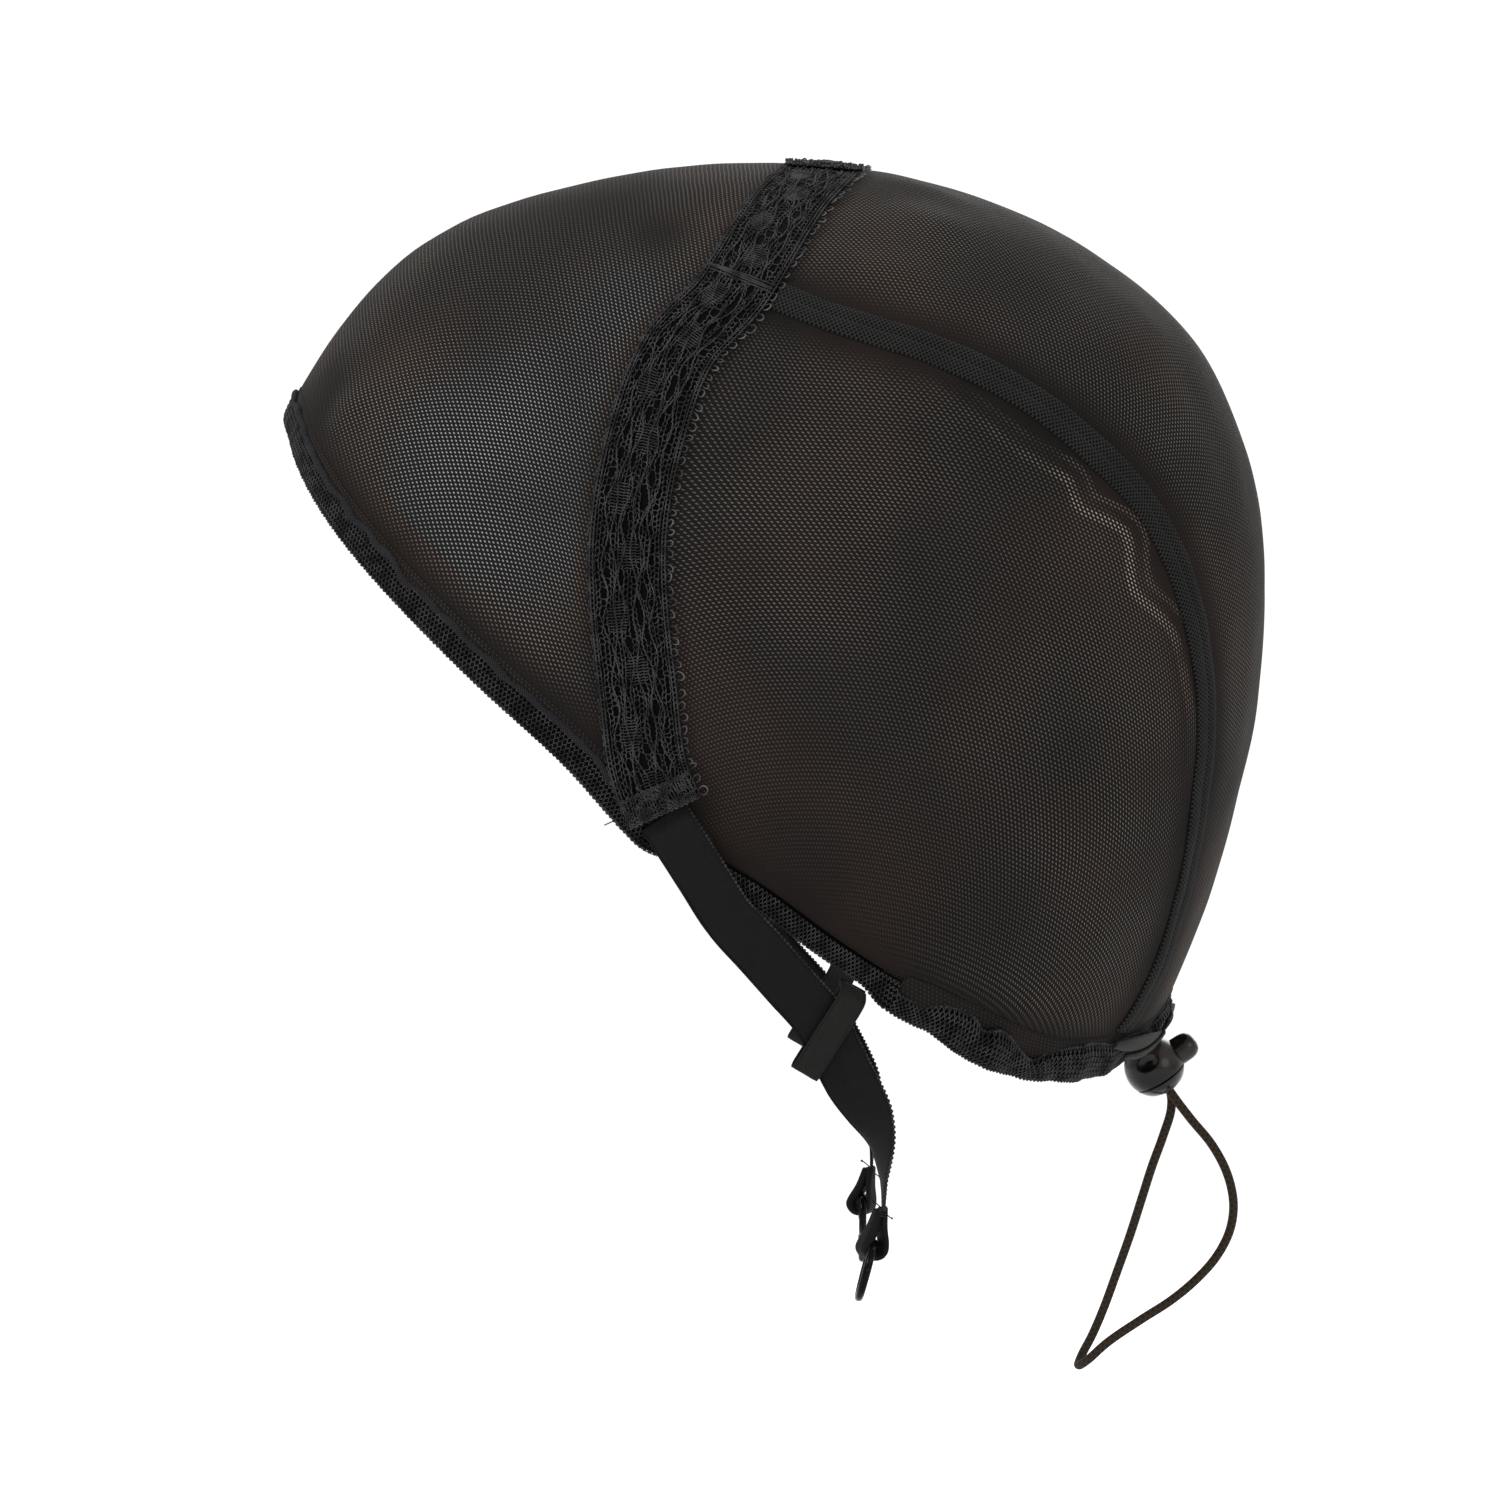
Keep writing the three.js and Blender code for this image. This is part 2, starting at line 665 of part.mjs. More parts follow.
// Section of the casing: places across it, and its fullness there as a share of its wall.
const CASING_SECTION = [
  { place: -1, fullness: 0.55 },
  { place: -0.4, fullness: 1 },
  { place: 0.4, fullness: 0.95 },
  { place: 1, fullness: 0.5 },
];
const ROWS_A_GATHER = 4;

// Gathered casing: its lower edge and its thickness rise and fall with each gather.
function makeCasing() {
  const span = (1 - 2 * casingShare) * hemLength;
  const gathers = Math.round(span / GATHER_PITCH);
  const wave = (share) => {
    const walked = (share - casingShare) / (1 - 2 * casingShare);
    return Math.sin(2 * Math.PI * gathers * walked);
  };
  return bandOnSkin({
    line: hemLine,
    from: casingShare + hemGap,
    to: 1 - casingShare - hemGap,
    rows: gathers * ROWS_A_GATHER,
    columns: CASING_SECTION.map((row) => row.place),
    half: (share, j) => hemHalf(share) + (j === 0 ? GATHER_DEPTH * wave(share) : 0),
    low: () => 0,
    high: (share, j) => CASING_SECTION[j].fullness * (CASING_WALL + GATHER_DEPTH * wave(share)),
  });
}

// Lower and upper edge of the cord tape, as shares of its width from the casing's middle.
const CORD_TAPE_SPAN = [-0.35, 0.65];

// Small flat tape laid on the casing beside the place where the cord comes out.
function makeCordTape() {
  const half = CORD_TAPE_LENGTH / 2 / hemLength;
  const centre = 0.5 - half - CORD_DIAMETER / hemLength;
  const rest = CASING_WALL + GATHER_DEPTH + GAP;
  return bandOnSkin({
    line: hemLine,
    from: centre - half,
    to: centre + half,
    rows: 4,
    columns: CORD_TAPE_SPAN,
    half: () => CORD_TAPE_WIDTH,
    low: () => rest,
    high: () => rest + CORD_TAPE_WALL,
  });
}

// Ribbon through a list of stations, each with a centre, a side direction, an outward one
// and its own width.
function ribbon(stations, wall) {
  return shell(stations.length - 1, 1, (i, j, outer) => {
    const { centre, side, out, width } = stations[i];
    return centre.clone()
      .addScaledVector(side, (j - 0.5) * width)
      .addScaledVector(out, (outer ? 0.5 : -0.5) * wall);
  });
}

// Stations of the strap from one table row to the next.
const STRAP_STEPS = 2;

// The strap's middle line, with the direction that its face looks in at each place.
function strapStations(side) {
  const lift = onHem + STRAP_EASE + STRAP_WALL / 2;
  const lying = STRAP_ON_CAP.map((row) => {
    const direction = rowDirection(row, side);
    return { centre: skin(direction, lift), face: skinNormal(direction), twist: 0, width: 1 };
  });
  const hanging = STRAP_HANGING.map((row) => ({
    centre: new THREE.Vector3(
      side * row.across * HALF_WIDTH,
      row.along * HALF_LENGTH - CENTRE_FORWARD,
      (row.up - 1) * CROWN_RISE,
    ),
    face: new THREE.Vector3(side, 0, 0),
    twist: row.twist,
    width: row.width,
  }));
  const rows = [...lying, ...hanging];
  const curve = new THREE.CatmullRomCurve3(rows.map((row) => row.centre), false, 'centripetal');
  const stations = [];
  for (let k = 0; k <= (rows.length - 1) * STRAP_STEPS; k += 1) {
    const share = k / ((rows.length - 1) * STRAP_STEPS);
    const low = Math.min(Math.floor(k / STRAP_STEPS), rows.length - 2);
    const part = k / STRAP_STEPS - low;
    const face = rows[low].face.clone().lerp(rows[low + 1].face, part);
    const twist = side * THREE.MathUtils.lerp(rows[low].twist, rows[low + 1].twist, part);
    const run = curve.getTangent(share);
    const out = face.addScaledVector(run, -face.dot(run)).normalize()
      .applyAxisAngle(run, THREE.MathUtils.degToRad(twist));
    const width = STRAP_WIDTH * THREE.MathUtils.lerp(rows[low].width, rows[low + 1].width, part);
    stations.push({
      centre: curve.getPoint(share),
      out,
      side: new THREE.Vector3().crossVectors(run, out),
      run,
      width,
    });
  }
  return stations;
}

// End loop: down behind the ring, round below it and up in front, back to the stitching.
function strapLoop(knot, side) {
  const radius = (STRAP_LOOP_WIDTH - STRAP_WALL) / 2;
  const depth = STRAP_LOOP_DROP - STRAP_LOOP_WIDTH / 2;
  const middle = new THREE.Vector3(knot.x, knot.y - radius, knot.z - depth);
  const places = [new THREE.Vector3(knot.x, knot.y, knot.z - depth / 2)];
  for (let turn = 0; turn <= 180; turn += 30) {
    const angle = THREE.MathUtils.degToRad(turn);
    places.push(new THREE.Vector3(
      knot.x,
      middle.y + radius * Math.cos(angle),
      middle.z - radius * Math.sin(angle),
    ));
  }
  const end = new THREE.Vector3(knot.x, knot.y - STRAP_WALL - GAP, knot.z - GAP);
  const slack = new THREE.Vector3(0, -STRAP_LOOP_SLACK, 0);
  places.push(places.at(-1).clone().lerp(end, 0.5).add(slack), end);
  const across = new THREE.Vector3(-side, 0, 0);
  const stations = places.map((centre, k) => {
    const before = places[Math.max(k - 1, 0)];
    const after = places[Math.min(k + 1, places.length - 1)];
    const run = k === 0 ? new THREE.Vector3(0, 0, -1) : after.clone().sub(before).normalize();
    const out = new THREE.Vector3().crossVectors(across, run).multiplyScalar(side);
    return { centre, side: across, out, width: STRAP_LOOP_RIBBON };
  });
  return { stations, middle, radius };
}

function makeStrap(side) {
  const stations = strapStations(side);
  const knot = stations.at(-1).centre;
  const loop = strapLoop(knot, side);
  return {
    geometry: ribbon([...stations, ...loop.stations], STRAP_WALL),
    stations,
    loop,
  };
}

// Keeper: a ribbon from the hem, over the strap, round its far edge and back behind it.
function makeKeeper(side, strapPlaces) {
  const rootShare = nearestShare(hemLine, skinBase(rowDirection(KEEPER_ROOT)));
  const edge = beside(hemLine, rootShare, -(HEM_WIDTH / 2 + 2 * GAP));
  edge.x *= side;
  const crossing = strapPlaces[Math.round(KEEPER_CROSSING * (strapPlaces.length - 1))];
  const spread = (STRAP_WALL + KEEPER_WALL) / 2 + GAP + KEEPER_SLACK;
  const over = skin(edge, HEM_EDGE + KEEPER_WALL / 2);
  const under = skin(edge, KEEPER_WALL / 2 - GAP / 2);
  const way = crossing.centre.clone().sub(over);
  const near = way.length();
  const run = way.addScaledVector(crossing.out, -way.dot(crossing.out)).normalize();
  const across = new THREE.Vector3().crossVectors(run, crossing.out);
  const level = (distance, lift) => crossing.centre.clone()
    .addScaledVector(run, distance).addScaledVector(crossing.out, lift);
  const reach = KEEPER_REACH - near - spread;
  const places = [over, level(-near * KEEPER_STRAIGHT, spread), level(0, spread)];
  for (let turn = 90; turn >= -90; turn -= 30) {
    const angle = THREE.MathUtils.degToRad(turn);
    places.push(level(reach + spread * Math.cos(angle), spread * Math.sin(angle)));
  }
  places.push(level(0, -spread), level(-near * KEEPER_STRAIGHT, -spread), under);
  const stations = places.map((centre, k) => {
    const before = places[Math.max(k - 1, 0)];
    const after = places[Math.min(k + 1, places.length - 1)];
    const heading = after.clone().sub(before).normalize();
    const normal = new THREE.Vector3().crossVectors(heading, across).normalize();
    return { centre, side: across.clone(), out: normal, width: KEEPER_WIDTH };
  });
  const hemRun = skinBase(along(hemLine, rootShare + hemSeam)).sub(skinBase(along(hemLine, rootShare)));
  hemRun.x *= side;
  hemRun.normalize().multiplyScalar(Math.sign(hemRun.dot(across)));
  for (const station of [stations[0], stations.at(-1)]) {
    station.side.copy(hemRun);
  }
  return ribbon(stations, KEEPER_WALL);
}

// Tube along a curve with a round section.
function wireAlong(curve, diameter, sides, steps) {
  const section = new THREE.Shape();
  for (let k = 0; k < sides; k += 1) {
    const angle = 2 * Math.PI * (k + 0.5) / sides;
    const [x, y] = [Math.cos(angle) * diameter / 2, Math.sin(angle) * diameter / 2];
    if (k === 0) {
      section.moveTo(x, y);
    } else {
      section.lineTo(x, y);
    }
  }
  section.closePath();
  return new THREE.ExtrudeGeometry(section, { steps, extrudePath: curve, curveSegments: 1 });
}

// The top of a round wire that hangs in the end loop, with its eye just clear of the ribbon.
function hangingPoint(loop, radius, wire) {
  const floor = loop.middle.z - loop.radius + STRAP_WALL / 2;
  const chord = Math.sqrt((radius - wire / 2) ** 2 - (STRAP_LOOP_RIBBON / 2) ** 2);
  return new THREE.Vector3(loop.middle.x, loop.middle.y, floor + 2 * GAP + radius - chord);
}

function makeRing(loop) {
  const radius = (RING_DIAMETER - RING_WIRE) / 2;
  const ring = new THREE.TorusGeometry(radius, RING_WIRE / 2, 6, 22);
  const top = hangingPoint(loop, radius, RING_WIRE);
  ring.translate(0, -radius, 0);
  ring.rotateX(THREE.MathUtils.degToRad(90 - RING_LEAN));
  ring.translate(top.x, top.y, top.z);
  return ring;
}

// The hook's eye in degrees, from its free end round to the shank.
const HOOK_EYE_START = 205;
const HOOK_EYE_END = -80;
const HOOK_EYE_STEP = 19;

// Bent wire hook: an eye, a shank and an open hook, all in one plane across the strap.
function makeHook(loop) {
  const radius = (HOOK_EYE - HOOK_WIRE) / 2;
  const top = hangingPoint(loop, radius, HOOK_WIRE);
  const eye = new THREE.Vector3(top.x, top.y, top.z - radius);
  const places = [];
  for (let turn = HOOK_EYE_START; turn >= HOOK_EYE_END; turn -= HOOK_EYE_STEP) {
    const angle = THREE.MathUtils.degToRad(turn);
    places.push([radius * Math.cos(angle), radius * Math.sin(angle)]);
  }
  const foot = -(HOOK_LENGTH - radius - HOOK_BEND - HOOK_WIRE);
  places.push([0, (foot - radius) / 2]);
  for (let turn = 0; turn <= 180; turn += 30) {
    const angle = THREE.MathUtils.degToRad(turn);
    places.push([HOOK_BEND * (Math.cos(angle) - 1), foot - HOOK_BEND * Math.sin(angle)]);
  }
  places.push([-2 * HOOK_BEND, foot + HOOK_TIP]);
  const curve = new THREE.CatmullRomCurve3(
    places.map(([x, z]) => new THREE.Vector3(eye.x + x, eye.y, eye.z + z)),
  );
  return wireAlong(curve, HOOK_WIRE, 6, 30);
}

function toManifold(geometry) {
  const bare = geometry.clone();
  bare.deleteAttribute('normal');
  bare.deleteAttribute('uv');
  const merged = mergeVertices(bare);
  return new wasm.Manifold(new wasm.Mesh({
    numProp: 3,
    vertProperties: new Float32Array(merged.attributes.position.array),
    triVerts: new Uint32Array(merged.index.array),
  }));
}

function fromManifold(solid) {
  const mesh = solid.getMesh();
  const geometry = new THREE.BufferGeometry();
  geometry.setAttribute('position', new THREE.Float32BufferAttribute(mesh.vertProperties, 3));
  geometry.setIndex(new THREE.Uint32BufferAttribute(mesh.triVerts, 1));
  geometry.computeVertexNormals();
  return geometry;
}

// Lock frame: Y is the way that the button slides, and Z the way that the cord runs up.
const barrelY = (low, high, diameter, sides) => {
  const piece = new THREE.CylinderGeometry(diameter / 2, diameter / 2, high - low, sides);
  piece.translate(0, (low + high) / 2, 0);
  return piece;
};

const cavityDiameter = BALL_DIAMETER - 2 * BARREL_WALL;
const cavityLength = BALL_DIAMETER - 2 * BARREL_END_WALL;
const mouthDiameter = cavityDiameter - 2 * MOUTH_LIP;
const buttonDiameter = mouthDiameter - 2 * SLIDE_CLEARANCE;
const buttonReach = BALL_DIAMETER / 2 + BUTTON_STAND;
const channelWide = 2 * CORD_DIAMETER + 3 * SLIDE_CLEARANCE;
const channelDeep = CORD_DIAMETER + 2 * SLIDE_CLEARANCE;
const stemHigh = cavityLength / 2 - SLIDE_CLEARANCE;
const slotLow = -channelDeep / 2;
const slotHigh = channelDeep / 2 + BUTTON_TRAVEL;

function makeBarrel() {
  const ball = new THREE.SphereGeometry(BALL_DIAMETER / 2, 18, 12);
  const cavity = barrelY(-cavityLength / 2, cavityLength / 2, cavityDiameter, 14);
  const mouth = barrelY(0, BALL_DIAMETER, mouthDiameter, 14);
  const channel = new THREE.BoxGeometry(channelWide, channelDeep, BALL_DIAMETER * 2);
  return fromManifold(toManifold(ball)
    .subtract(toManifold(cavity))
    .subtract(toManifold(mouth))
    .subtract(toManifold(channel)));
}

// Radius of the button where its dome turns over, as a share of the button's own.
const DOME_RIM = 0.76;

function makePlunger() {
  const bore = cavityDiameter - 2 * SLIDE_CLEARANCE;
  const [shoulder, rim] = [buttonReach - BUTTON_DOME, buttonReach - BUTTON_DOME / 3];
  const profile = [
    [0, slotLow - STEM_WALL],
    [bore / 2, slotLow - STEM_WALL],
    [bore / 2, stemHigh],
    [buttonDiameter / 2, stemHigh],
    [buttonDiameter / 2, shoulder],
    [buttonDiameter / 2 * DOME_RIM, rim],
    [0, buttonReach],
  ].map(([x, y]) => new THREE.Vector2(x, y));
  const body = new THREE.LatheGeometry(profile, 14);
  const slot = new THREE.BoxGeometry(channelWide, slotHigh - slotLow, BALL_DIAMETER * 2);
  slot.translate(0, (slotLow + slotHigh) / 2, 0);
  return fromManifold(toManifold(body).subtract(toManifold(slot)));
}

// The lock sits against the casing's lower edge at the middle of the nape, leaning back.
const seatLean = THREE.MathUtils.degToRad(LOCK_SEAT_LEAN);
const seatWay = new THREE.Vector3(0, Math.sin(seatLean), -Math.cos(seatLean));
const casingFoot = skin(
  beside(hemLine, 0.5, -(CASING_HEIGHT / 2 + GATHER_DEPTH)),
  CASING_WALL / 2,
);
const lock = new THREE.Group();
lock.position.copy(casingFoot).addScaledVector(
  seatWay,
  BALL_DIAMETER / 2 + LOCK_EASE,
);
lock.rotation.x = THREE.MathUtils.degToRad(LOCK_LEAN);

function addLock() {
  const barrel = addPiece('lock_barrel', makeBarrel(), 'plastic');
  const plunger = addPiece('lock_plunger', makePlunger(), 'plastic');
  lock.add(barrel, plunger);
  cap.add(lock);
}

function makeCord() {
  const places = CORD_ROUTE.map(([x, y, z]) => new THREE.Vector3(x, y, z));
  const curve = new THREE.CatmullRomCurve3(places, false, 'centripetal');
  return wireAlong(curve, CORD_DIAMETER, 8, CORD_STEPS);
}

const sides = { left: 1, right: -1 };

addPiece('front_panel', makeFrontPanel(), 'net');
addPiece('back_panel', makeBackPanel(), 'net');
addPiece('lace_crown', makeLaceCrown(), 'lace');
addPiece('front_hem', makeHem(hemGap - earShare, earShare - hemGap, HEM_GRID_ROWS.front), 'hem');
addPiece('nape_casing', makeCasing(), 'hem');
addPiece('cord_tape', makeCordTape(), 'ribbon');
for (const [name, side] of Object.entries(sides)) {
  addPiece(`side_panel_${name}`, makeSidePanel(side), 'net');
  addPiece(`lace_band_${name}`, makeLaceBand(side), 'lace');
  addPiece(`seam_tape_${name}`, makeSeamTape(side), 'tape');
  const [from, to] = side > 0
    ? [earShare + hemGap, casingShare - hemGap]
    : [1 + hemGap - casingShare, 1 - earShare - hemGap];
  addPiece(`side_hem_${name}`, makeHem(from, to, HEM_GRID_ROWS.side), 'hem');
  const strap = makeStrap(side);
  addPiece(`strap_${name}`, strap.geometry, 'elastic');
  addPiece(`keeper_${name}`, makeKeeper(side, strap.stations), 'ribbon');
  if (side > 0) {
    addPiece('strap_ring', makeRing(strap.loop), 'wire');
  } else {
    addPiece('strap_hook', makeHook(strap.loop), 'wire');
  }
}
addLock();
addPiece('draw_cord', makeCord(), 'cord');

export default cap;
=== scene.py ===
import math

import bpy
import numpy as np
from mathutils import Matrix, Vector


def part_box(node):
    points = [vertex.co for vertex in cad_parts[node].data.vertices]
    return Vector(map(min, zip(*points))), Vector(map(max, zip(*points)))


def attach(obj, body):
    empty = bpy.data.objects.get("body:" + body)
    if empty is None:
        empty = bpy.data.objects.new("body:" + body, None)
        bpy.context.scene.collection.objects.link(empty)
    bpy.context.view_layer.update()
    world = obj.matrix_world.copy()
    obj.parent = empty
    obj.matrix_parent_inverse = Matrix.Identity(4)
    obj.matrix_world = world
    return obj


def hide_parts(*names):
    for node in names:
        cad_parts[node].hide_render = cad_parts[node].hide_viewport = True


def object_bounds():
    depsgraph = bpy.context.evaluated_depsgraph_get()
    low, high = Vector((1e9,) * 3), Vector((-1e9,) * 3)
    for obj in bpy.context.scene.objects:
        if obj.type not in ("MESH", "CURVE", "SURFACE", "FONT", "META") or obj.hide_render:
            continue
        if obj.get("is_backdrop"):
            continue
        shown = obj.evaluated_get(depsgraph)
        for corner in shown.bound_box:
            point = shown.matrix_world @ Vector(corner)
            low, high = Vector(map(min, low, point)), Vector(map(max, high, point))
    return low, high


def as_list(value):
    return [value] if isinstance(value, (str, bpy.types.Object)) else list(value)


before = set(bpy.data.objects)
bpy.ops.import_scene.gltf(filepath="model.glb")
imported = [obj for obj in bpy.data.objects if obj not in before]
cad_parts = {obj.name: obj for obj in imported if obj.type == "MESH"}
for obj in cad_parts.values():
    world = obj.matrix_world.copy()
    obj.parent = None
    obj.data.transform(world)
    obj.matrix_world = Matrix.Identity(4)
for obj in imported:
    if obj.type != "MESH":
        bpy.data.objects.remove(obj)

cad_low, cad_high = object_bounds()
MM = 0.001

# Cap skin, as in the part: half sizes, the centre, and the roundness of its sections
HALF_WIDTH = 76.0
HALF_LENGTH = 97.4
CROWN_RISE = 86.0
CENTRE_FORWARD = 11.2
ROUNDNESS = 2.25
BACK_FULLNESS = 0.04

# Cloth: the net's solid wall, its visual sheet and how far that lies under the wall's face
GAP = 0.3
NET_WALL = 1.0
NET_SHEET = 0.5
NET_SUNK = 0.15
SIDE_CORNER = 0.4
# Painted light in the net's pores away from the listed spots
PORE_LIGHT_BASE = 0.27
SEAM_SPACE = 1.0
EDGE_SPACE = 0.6
SEAM_FOOT = 4.0
# Pores: spacing along and between rows, slant, the rows' tilt, and the power of the smooth fit
PORE_PITCH = 0.97
PORE_ROW = 0.74
PORE_SLANT = 0.8
ROW_TILT = 10.0
SMOOTH_POWER = 6
# Lace: its overlaps, the step over the hem and the rise of its end over the strap
LACE_WIDTH = 15.0
LACE_WALL = 1.0
LACE_FOLD = 5.0
LACE_OVERLAP = 4.0
LACE_STEP = 3.2
LACE_END_RISE = 1.7
CROWN_LACE_LENGTH = 52.0
CROWN_LACE_STRAIGHT = 0.7
CROWN_LACE_SUNK = 0.6
LACE_REPEAT = 22.0
LACE_WALES = np.linspace(-6.0, 6.0, 15)
LACE_YARN = 0.15
LACE_KNOT = 1.1
PICOT_PITCH = 2.4
TAPE_WIDTH = 5.0
TAPE_SAMPLES = 240
TAPE_SPREAD = 0.8
# Hem and casing: pitches of honeycomb and beads, and the trim of the hem beside the strap
HEM_WIDTH = 6.0
HEM_WALL = 2.0
CASING_HEIGHT = 9.0
CASING_BLEND = 6.0
GATHER_PITCH = 11.0
BEAD_PITCH = 1.0
CASING_LANES = 8
HONEYCOMB = 0.95
HEM_LANES = 6
HEM_STRAND = 0.125
HEM_TRIM = 2.0

# Straps and hardware
STRAP_WIDTH = 9.8
STRAP_WALL = 1.0
STRAP_BEAD = 0.87
STRAP_EASE = 0.6
STRAP_BOW = 2.2
STRAP_TOP_SUNK = 1.3
STRAP_RIBBON = 0.62
LOOP_TURN = 20.0
STRAP_LOOP_DROP = 9.4
STRAP_LOOP_WIDTH = 5.0
STRAP_LOOP_RIBBON = 5.4
KEEPER_WIDTH = 5.2
KEEPER_WALL = 0.8
KEEPER_REACH = 19.0
KEEPER_STRAIGHT = 0.8
KEEPER_EASE = 0.35
KEEPER_RIBBON = 0.5
RING_DIAMETER = 12.4
RING_WIRE = 1.6
RING_LEAN = 15.0
HOOK_WIRE = 1.6
HOOK_EYE = 9.4
HOOK_LENGTH = 15.0
HOOK_BEND = 3.5
BALL_DIAMETER = 12.0
BALL_WALL = 2.4
PLUNGER_WALL = 0.5
PLUNGER_EASE = 0.3
LOCK_LEAN = 33.0
# Parting groove of the ball: height, lean, half width and depth
GROOVE = (-2.4, -0.2, 0.17, 0.55)
BORE_RADIUS = 1.7
BORE_WIDE = 1.32
BORE_NARROW = 0.78
CORD_DIAMETER = 1.8

# Outline of the skin from the side: turn in degrees from the back through the crown, and reach.
PROFILE = np.array([
    (-55, 1.275), (-40, 1.14), (-25, 1.05), (-5, 1.005), (20, 1.025), (35, 1.045),
    (50, 1.03), (70, 1.01), (90, 1.0), (110, 1.025), (132, 1.078), (152, 1.07),
    (175, 1.06), (200, 1.12), (230, 1.3), (270, 1.42),
])
# Lines on the left half: along and up as shares of half length and crown rise, and across as a
# share of half width where it doesn't follow from the skin.
FREE = None
HEM_ROWS = [
    (0, -0.971, 0.447), (0.3, -0.95, 0.4), (FREE, -0.931, 0.335), (FREE, -0.856, 0.191),
    (FREE, -0.701, -0.012), (FREE, -0.55, -0.181), (FREE, -0.387, -0.349),
    (FREE, -0.216, -0.554), (FREE, -0.037, -0.677), (FREE, 0.111, -0.799),
    (FREE, 0.221, -0.88), (FREE, 0.372, -0.966), (FREE, 0.536, -1.042),
    (0.42, 0.63, -1.055), (0.2, 0.722, -0.985), (0, 0.775, -0.933),
]
LACE_ROWS = [
    (FREE, -0.2, -0.48), (FREE, -0.235, -0.393), (FREE, -0.256, -0.217),
    (FREE, -0.274, -0.019), (FREE, -0.274, 0.135), (FREE, -0.239, 0.349),
    (FREE, -0.179, 0.528), (FREE, -0.074, 0.664), (0.54, 0.045, 0.9), (0.34, 0.1, 0.975),
    (0, 0.115, 1.0),
]
TAPE_ROWS = [
    (FREE, -0.02, 0.665), (FREE, 0.123, 0.604), (FREE, 0.365, 0.509), (FREE, 0.594, 0.348),
    (FREE, 0.732, 0.196), (FREE, 0.822, -0.02), (FREE, 0.856, -0.225), (FREE, 0.85, -0.43),
    (FREE, 0.832, -0.6), (0.41, 0.8, -0.76), (0.4, 0.72, -0.95),
]
CASING_START = (FREE, 0.24, -0.893)
# Soft folds of the net: from and to as (along, up), height and width in mm.
FOLDS = [
    ((0.2, 0.955), (0.43, 0.86), 0.8, 7), ((0.19, 0.87), (0.44, 0.79), 0.7, 7),
    ((0.1, 0.72), (0.32, 0.7), 0.7, 7), ((-0.88, 0.36), (-0.78, 0.47), 0.8, 6),
    ((0.45, -0.9), (0.5, -0.62), 0.8, 8), ((0.6, -0.9), (0.64, -0.66), 0.8, 8),
]
STRAP_ON_CAP = [
    (FREE, -0.209, -0.49),
    (FREE, -0.179, -0.535), (FREE, -0.145, -0.585), (FREE, -0.105, -0.64),
    (FREE, -0.06, -0.705),
]
# Hanging strap: across, along, up, twist in degrees, and width as a share.
STRAP_HANGING = [
    (0.938, -0.008, -0.785, 0, 1), (0.907, 0.056, -0.88, 0, 1), (0.88, 0.097, -0.947, 0, 1),
    (0.862, 0.125, -1.011, 0, 1), (0.847, 0.158, -1.083, 7, 1), (0.836, 0.196, -1.158, 32, 0.97),
    (0.828, 0.217, -1.223, 58, 0.86), (0.825, 0.221, -1.305, 82, 0.68),
    (0.825, 0.221, -1.37, 90, 0.55),
]
KEEPER_ROOT = (FREE, 0.165, -0.862)
KEEPER_CROSSING = 0.5754

# Draw cord's route in metres: out of the casing, through the lock, round the loop and back.
CORD_ROUTE = [
    (-0.00105, 0.06253, -0.17455), (-0.00105, 0.0641, -0.17697), (-0.00105, 0.06563, -0.17933),
    (-0.00105, 0.06716, -0.18168), (-0.00105, 0.0689, -0.18436), (-0.0013, 0.0691, -0.1879),
    (-0.0019, 0.0675, -0.1934), (-0.003, 0.0654, -0.1994), (-0.0044, 0.0634, -0.206),
    (-0.0057, 0.0612, -0.2132), (-0.0069, 0.0586, -0.2208), (-0.0079, 0.0559, -0.2284),
    (-0.0082, 0.0536, -0.2338), (-0.007, 0.0515, -0.2376), (-0.0042, 0.0507, -0.2394),
    (-0.0015, 0.0523, -0.2382), (0, 0.0564, -0.2344), (0.0004, 0.0628, -0.23),
    (0.0006, 0.069, -0.226), (0.0008, 0.0738, -0.222), (0.001, 0.0779, -0.2174),
    (0.0012, 0.0806, -0.2122), (0.0013, 0.0814, -0.2068), (0.0013, 0.0802, -0.2008),
    (0.00125, 0.0772, -0.195), (0.00115, 0.0728, -0.1896), (0.00105, 0.0693, -0.18498),
    (0.00105, 0.06716, -0.18168), (0.00105, 0.06563, -0.17933), (0.00105, 0.0641, -0.17697),
    (0.00105, 0.06253, -0.17455),
]

# Camera: level, from the wearer's left, with the photograph's distance and field
CAMERA_DISTANCE = 1.35
CAMERA_ALONG = -0.0152
CAMERA_UP = -0.116
FIELD = 0.3
SENSOR = 36.0
FLOOR_Z = -0.33
FLOOR_SIZE = 60.0
SKY = 1.08


def smoothstep(x, low, high):
    s = np.clip((x - low) / (high - low), 0, 1)
    return s * s * (3 - 2 * s)


def lerp(a, b, s):
    return a + (b - a) * s


def unit(v):
    return v / np.maximum(np.linalg.norm(v, axis=-1, keepdims=True), 1e-12)


def turns(a, pitch):
    """Angle that turns once in every pitch."""
    return a * 2 * math.pi / pitch


def quads_of(ids):
    """Corner numbers of the squares between rows and columns of points."""
    return np.stack([ids[:-1, :-1], ids[1:, :-1], ids[1:, 1:], ids[:-1, 1:]], -1).reshape(-1, 4)


def lengths_along(places):
    """Length walked to each of a row of places."""
    return np.concatenate([[0], np.cumsum(np.linalg.norm(np.diff(places, axis=0), axis=1))])


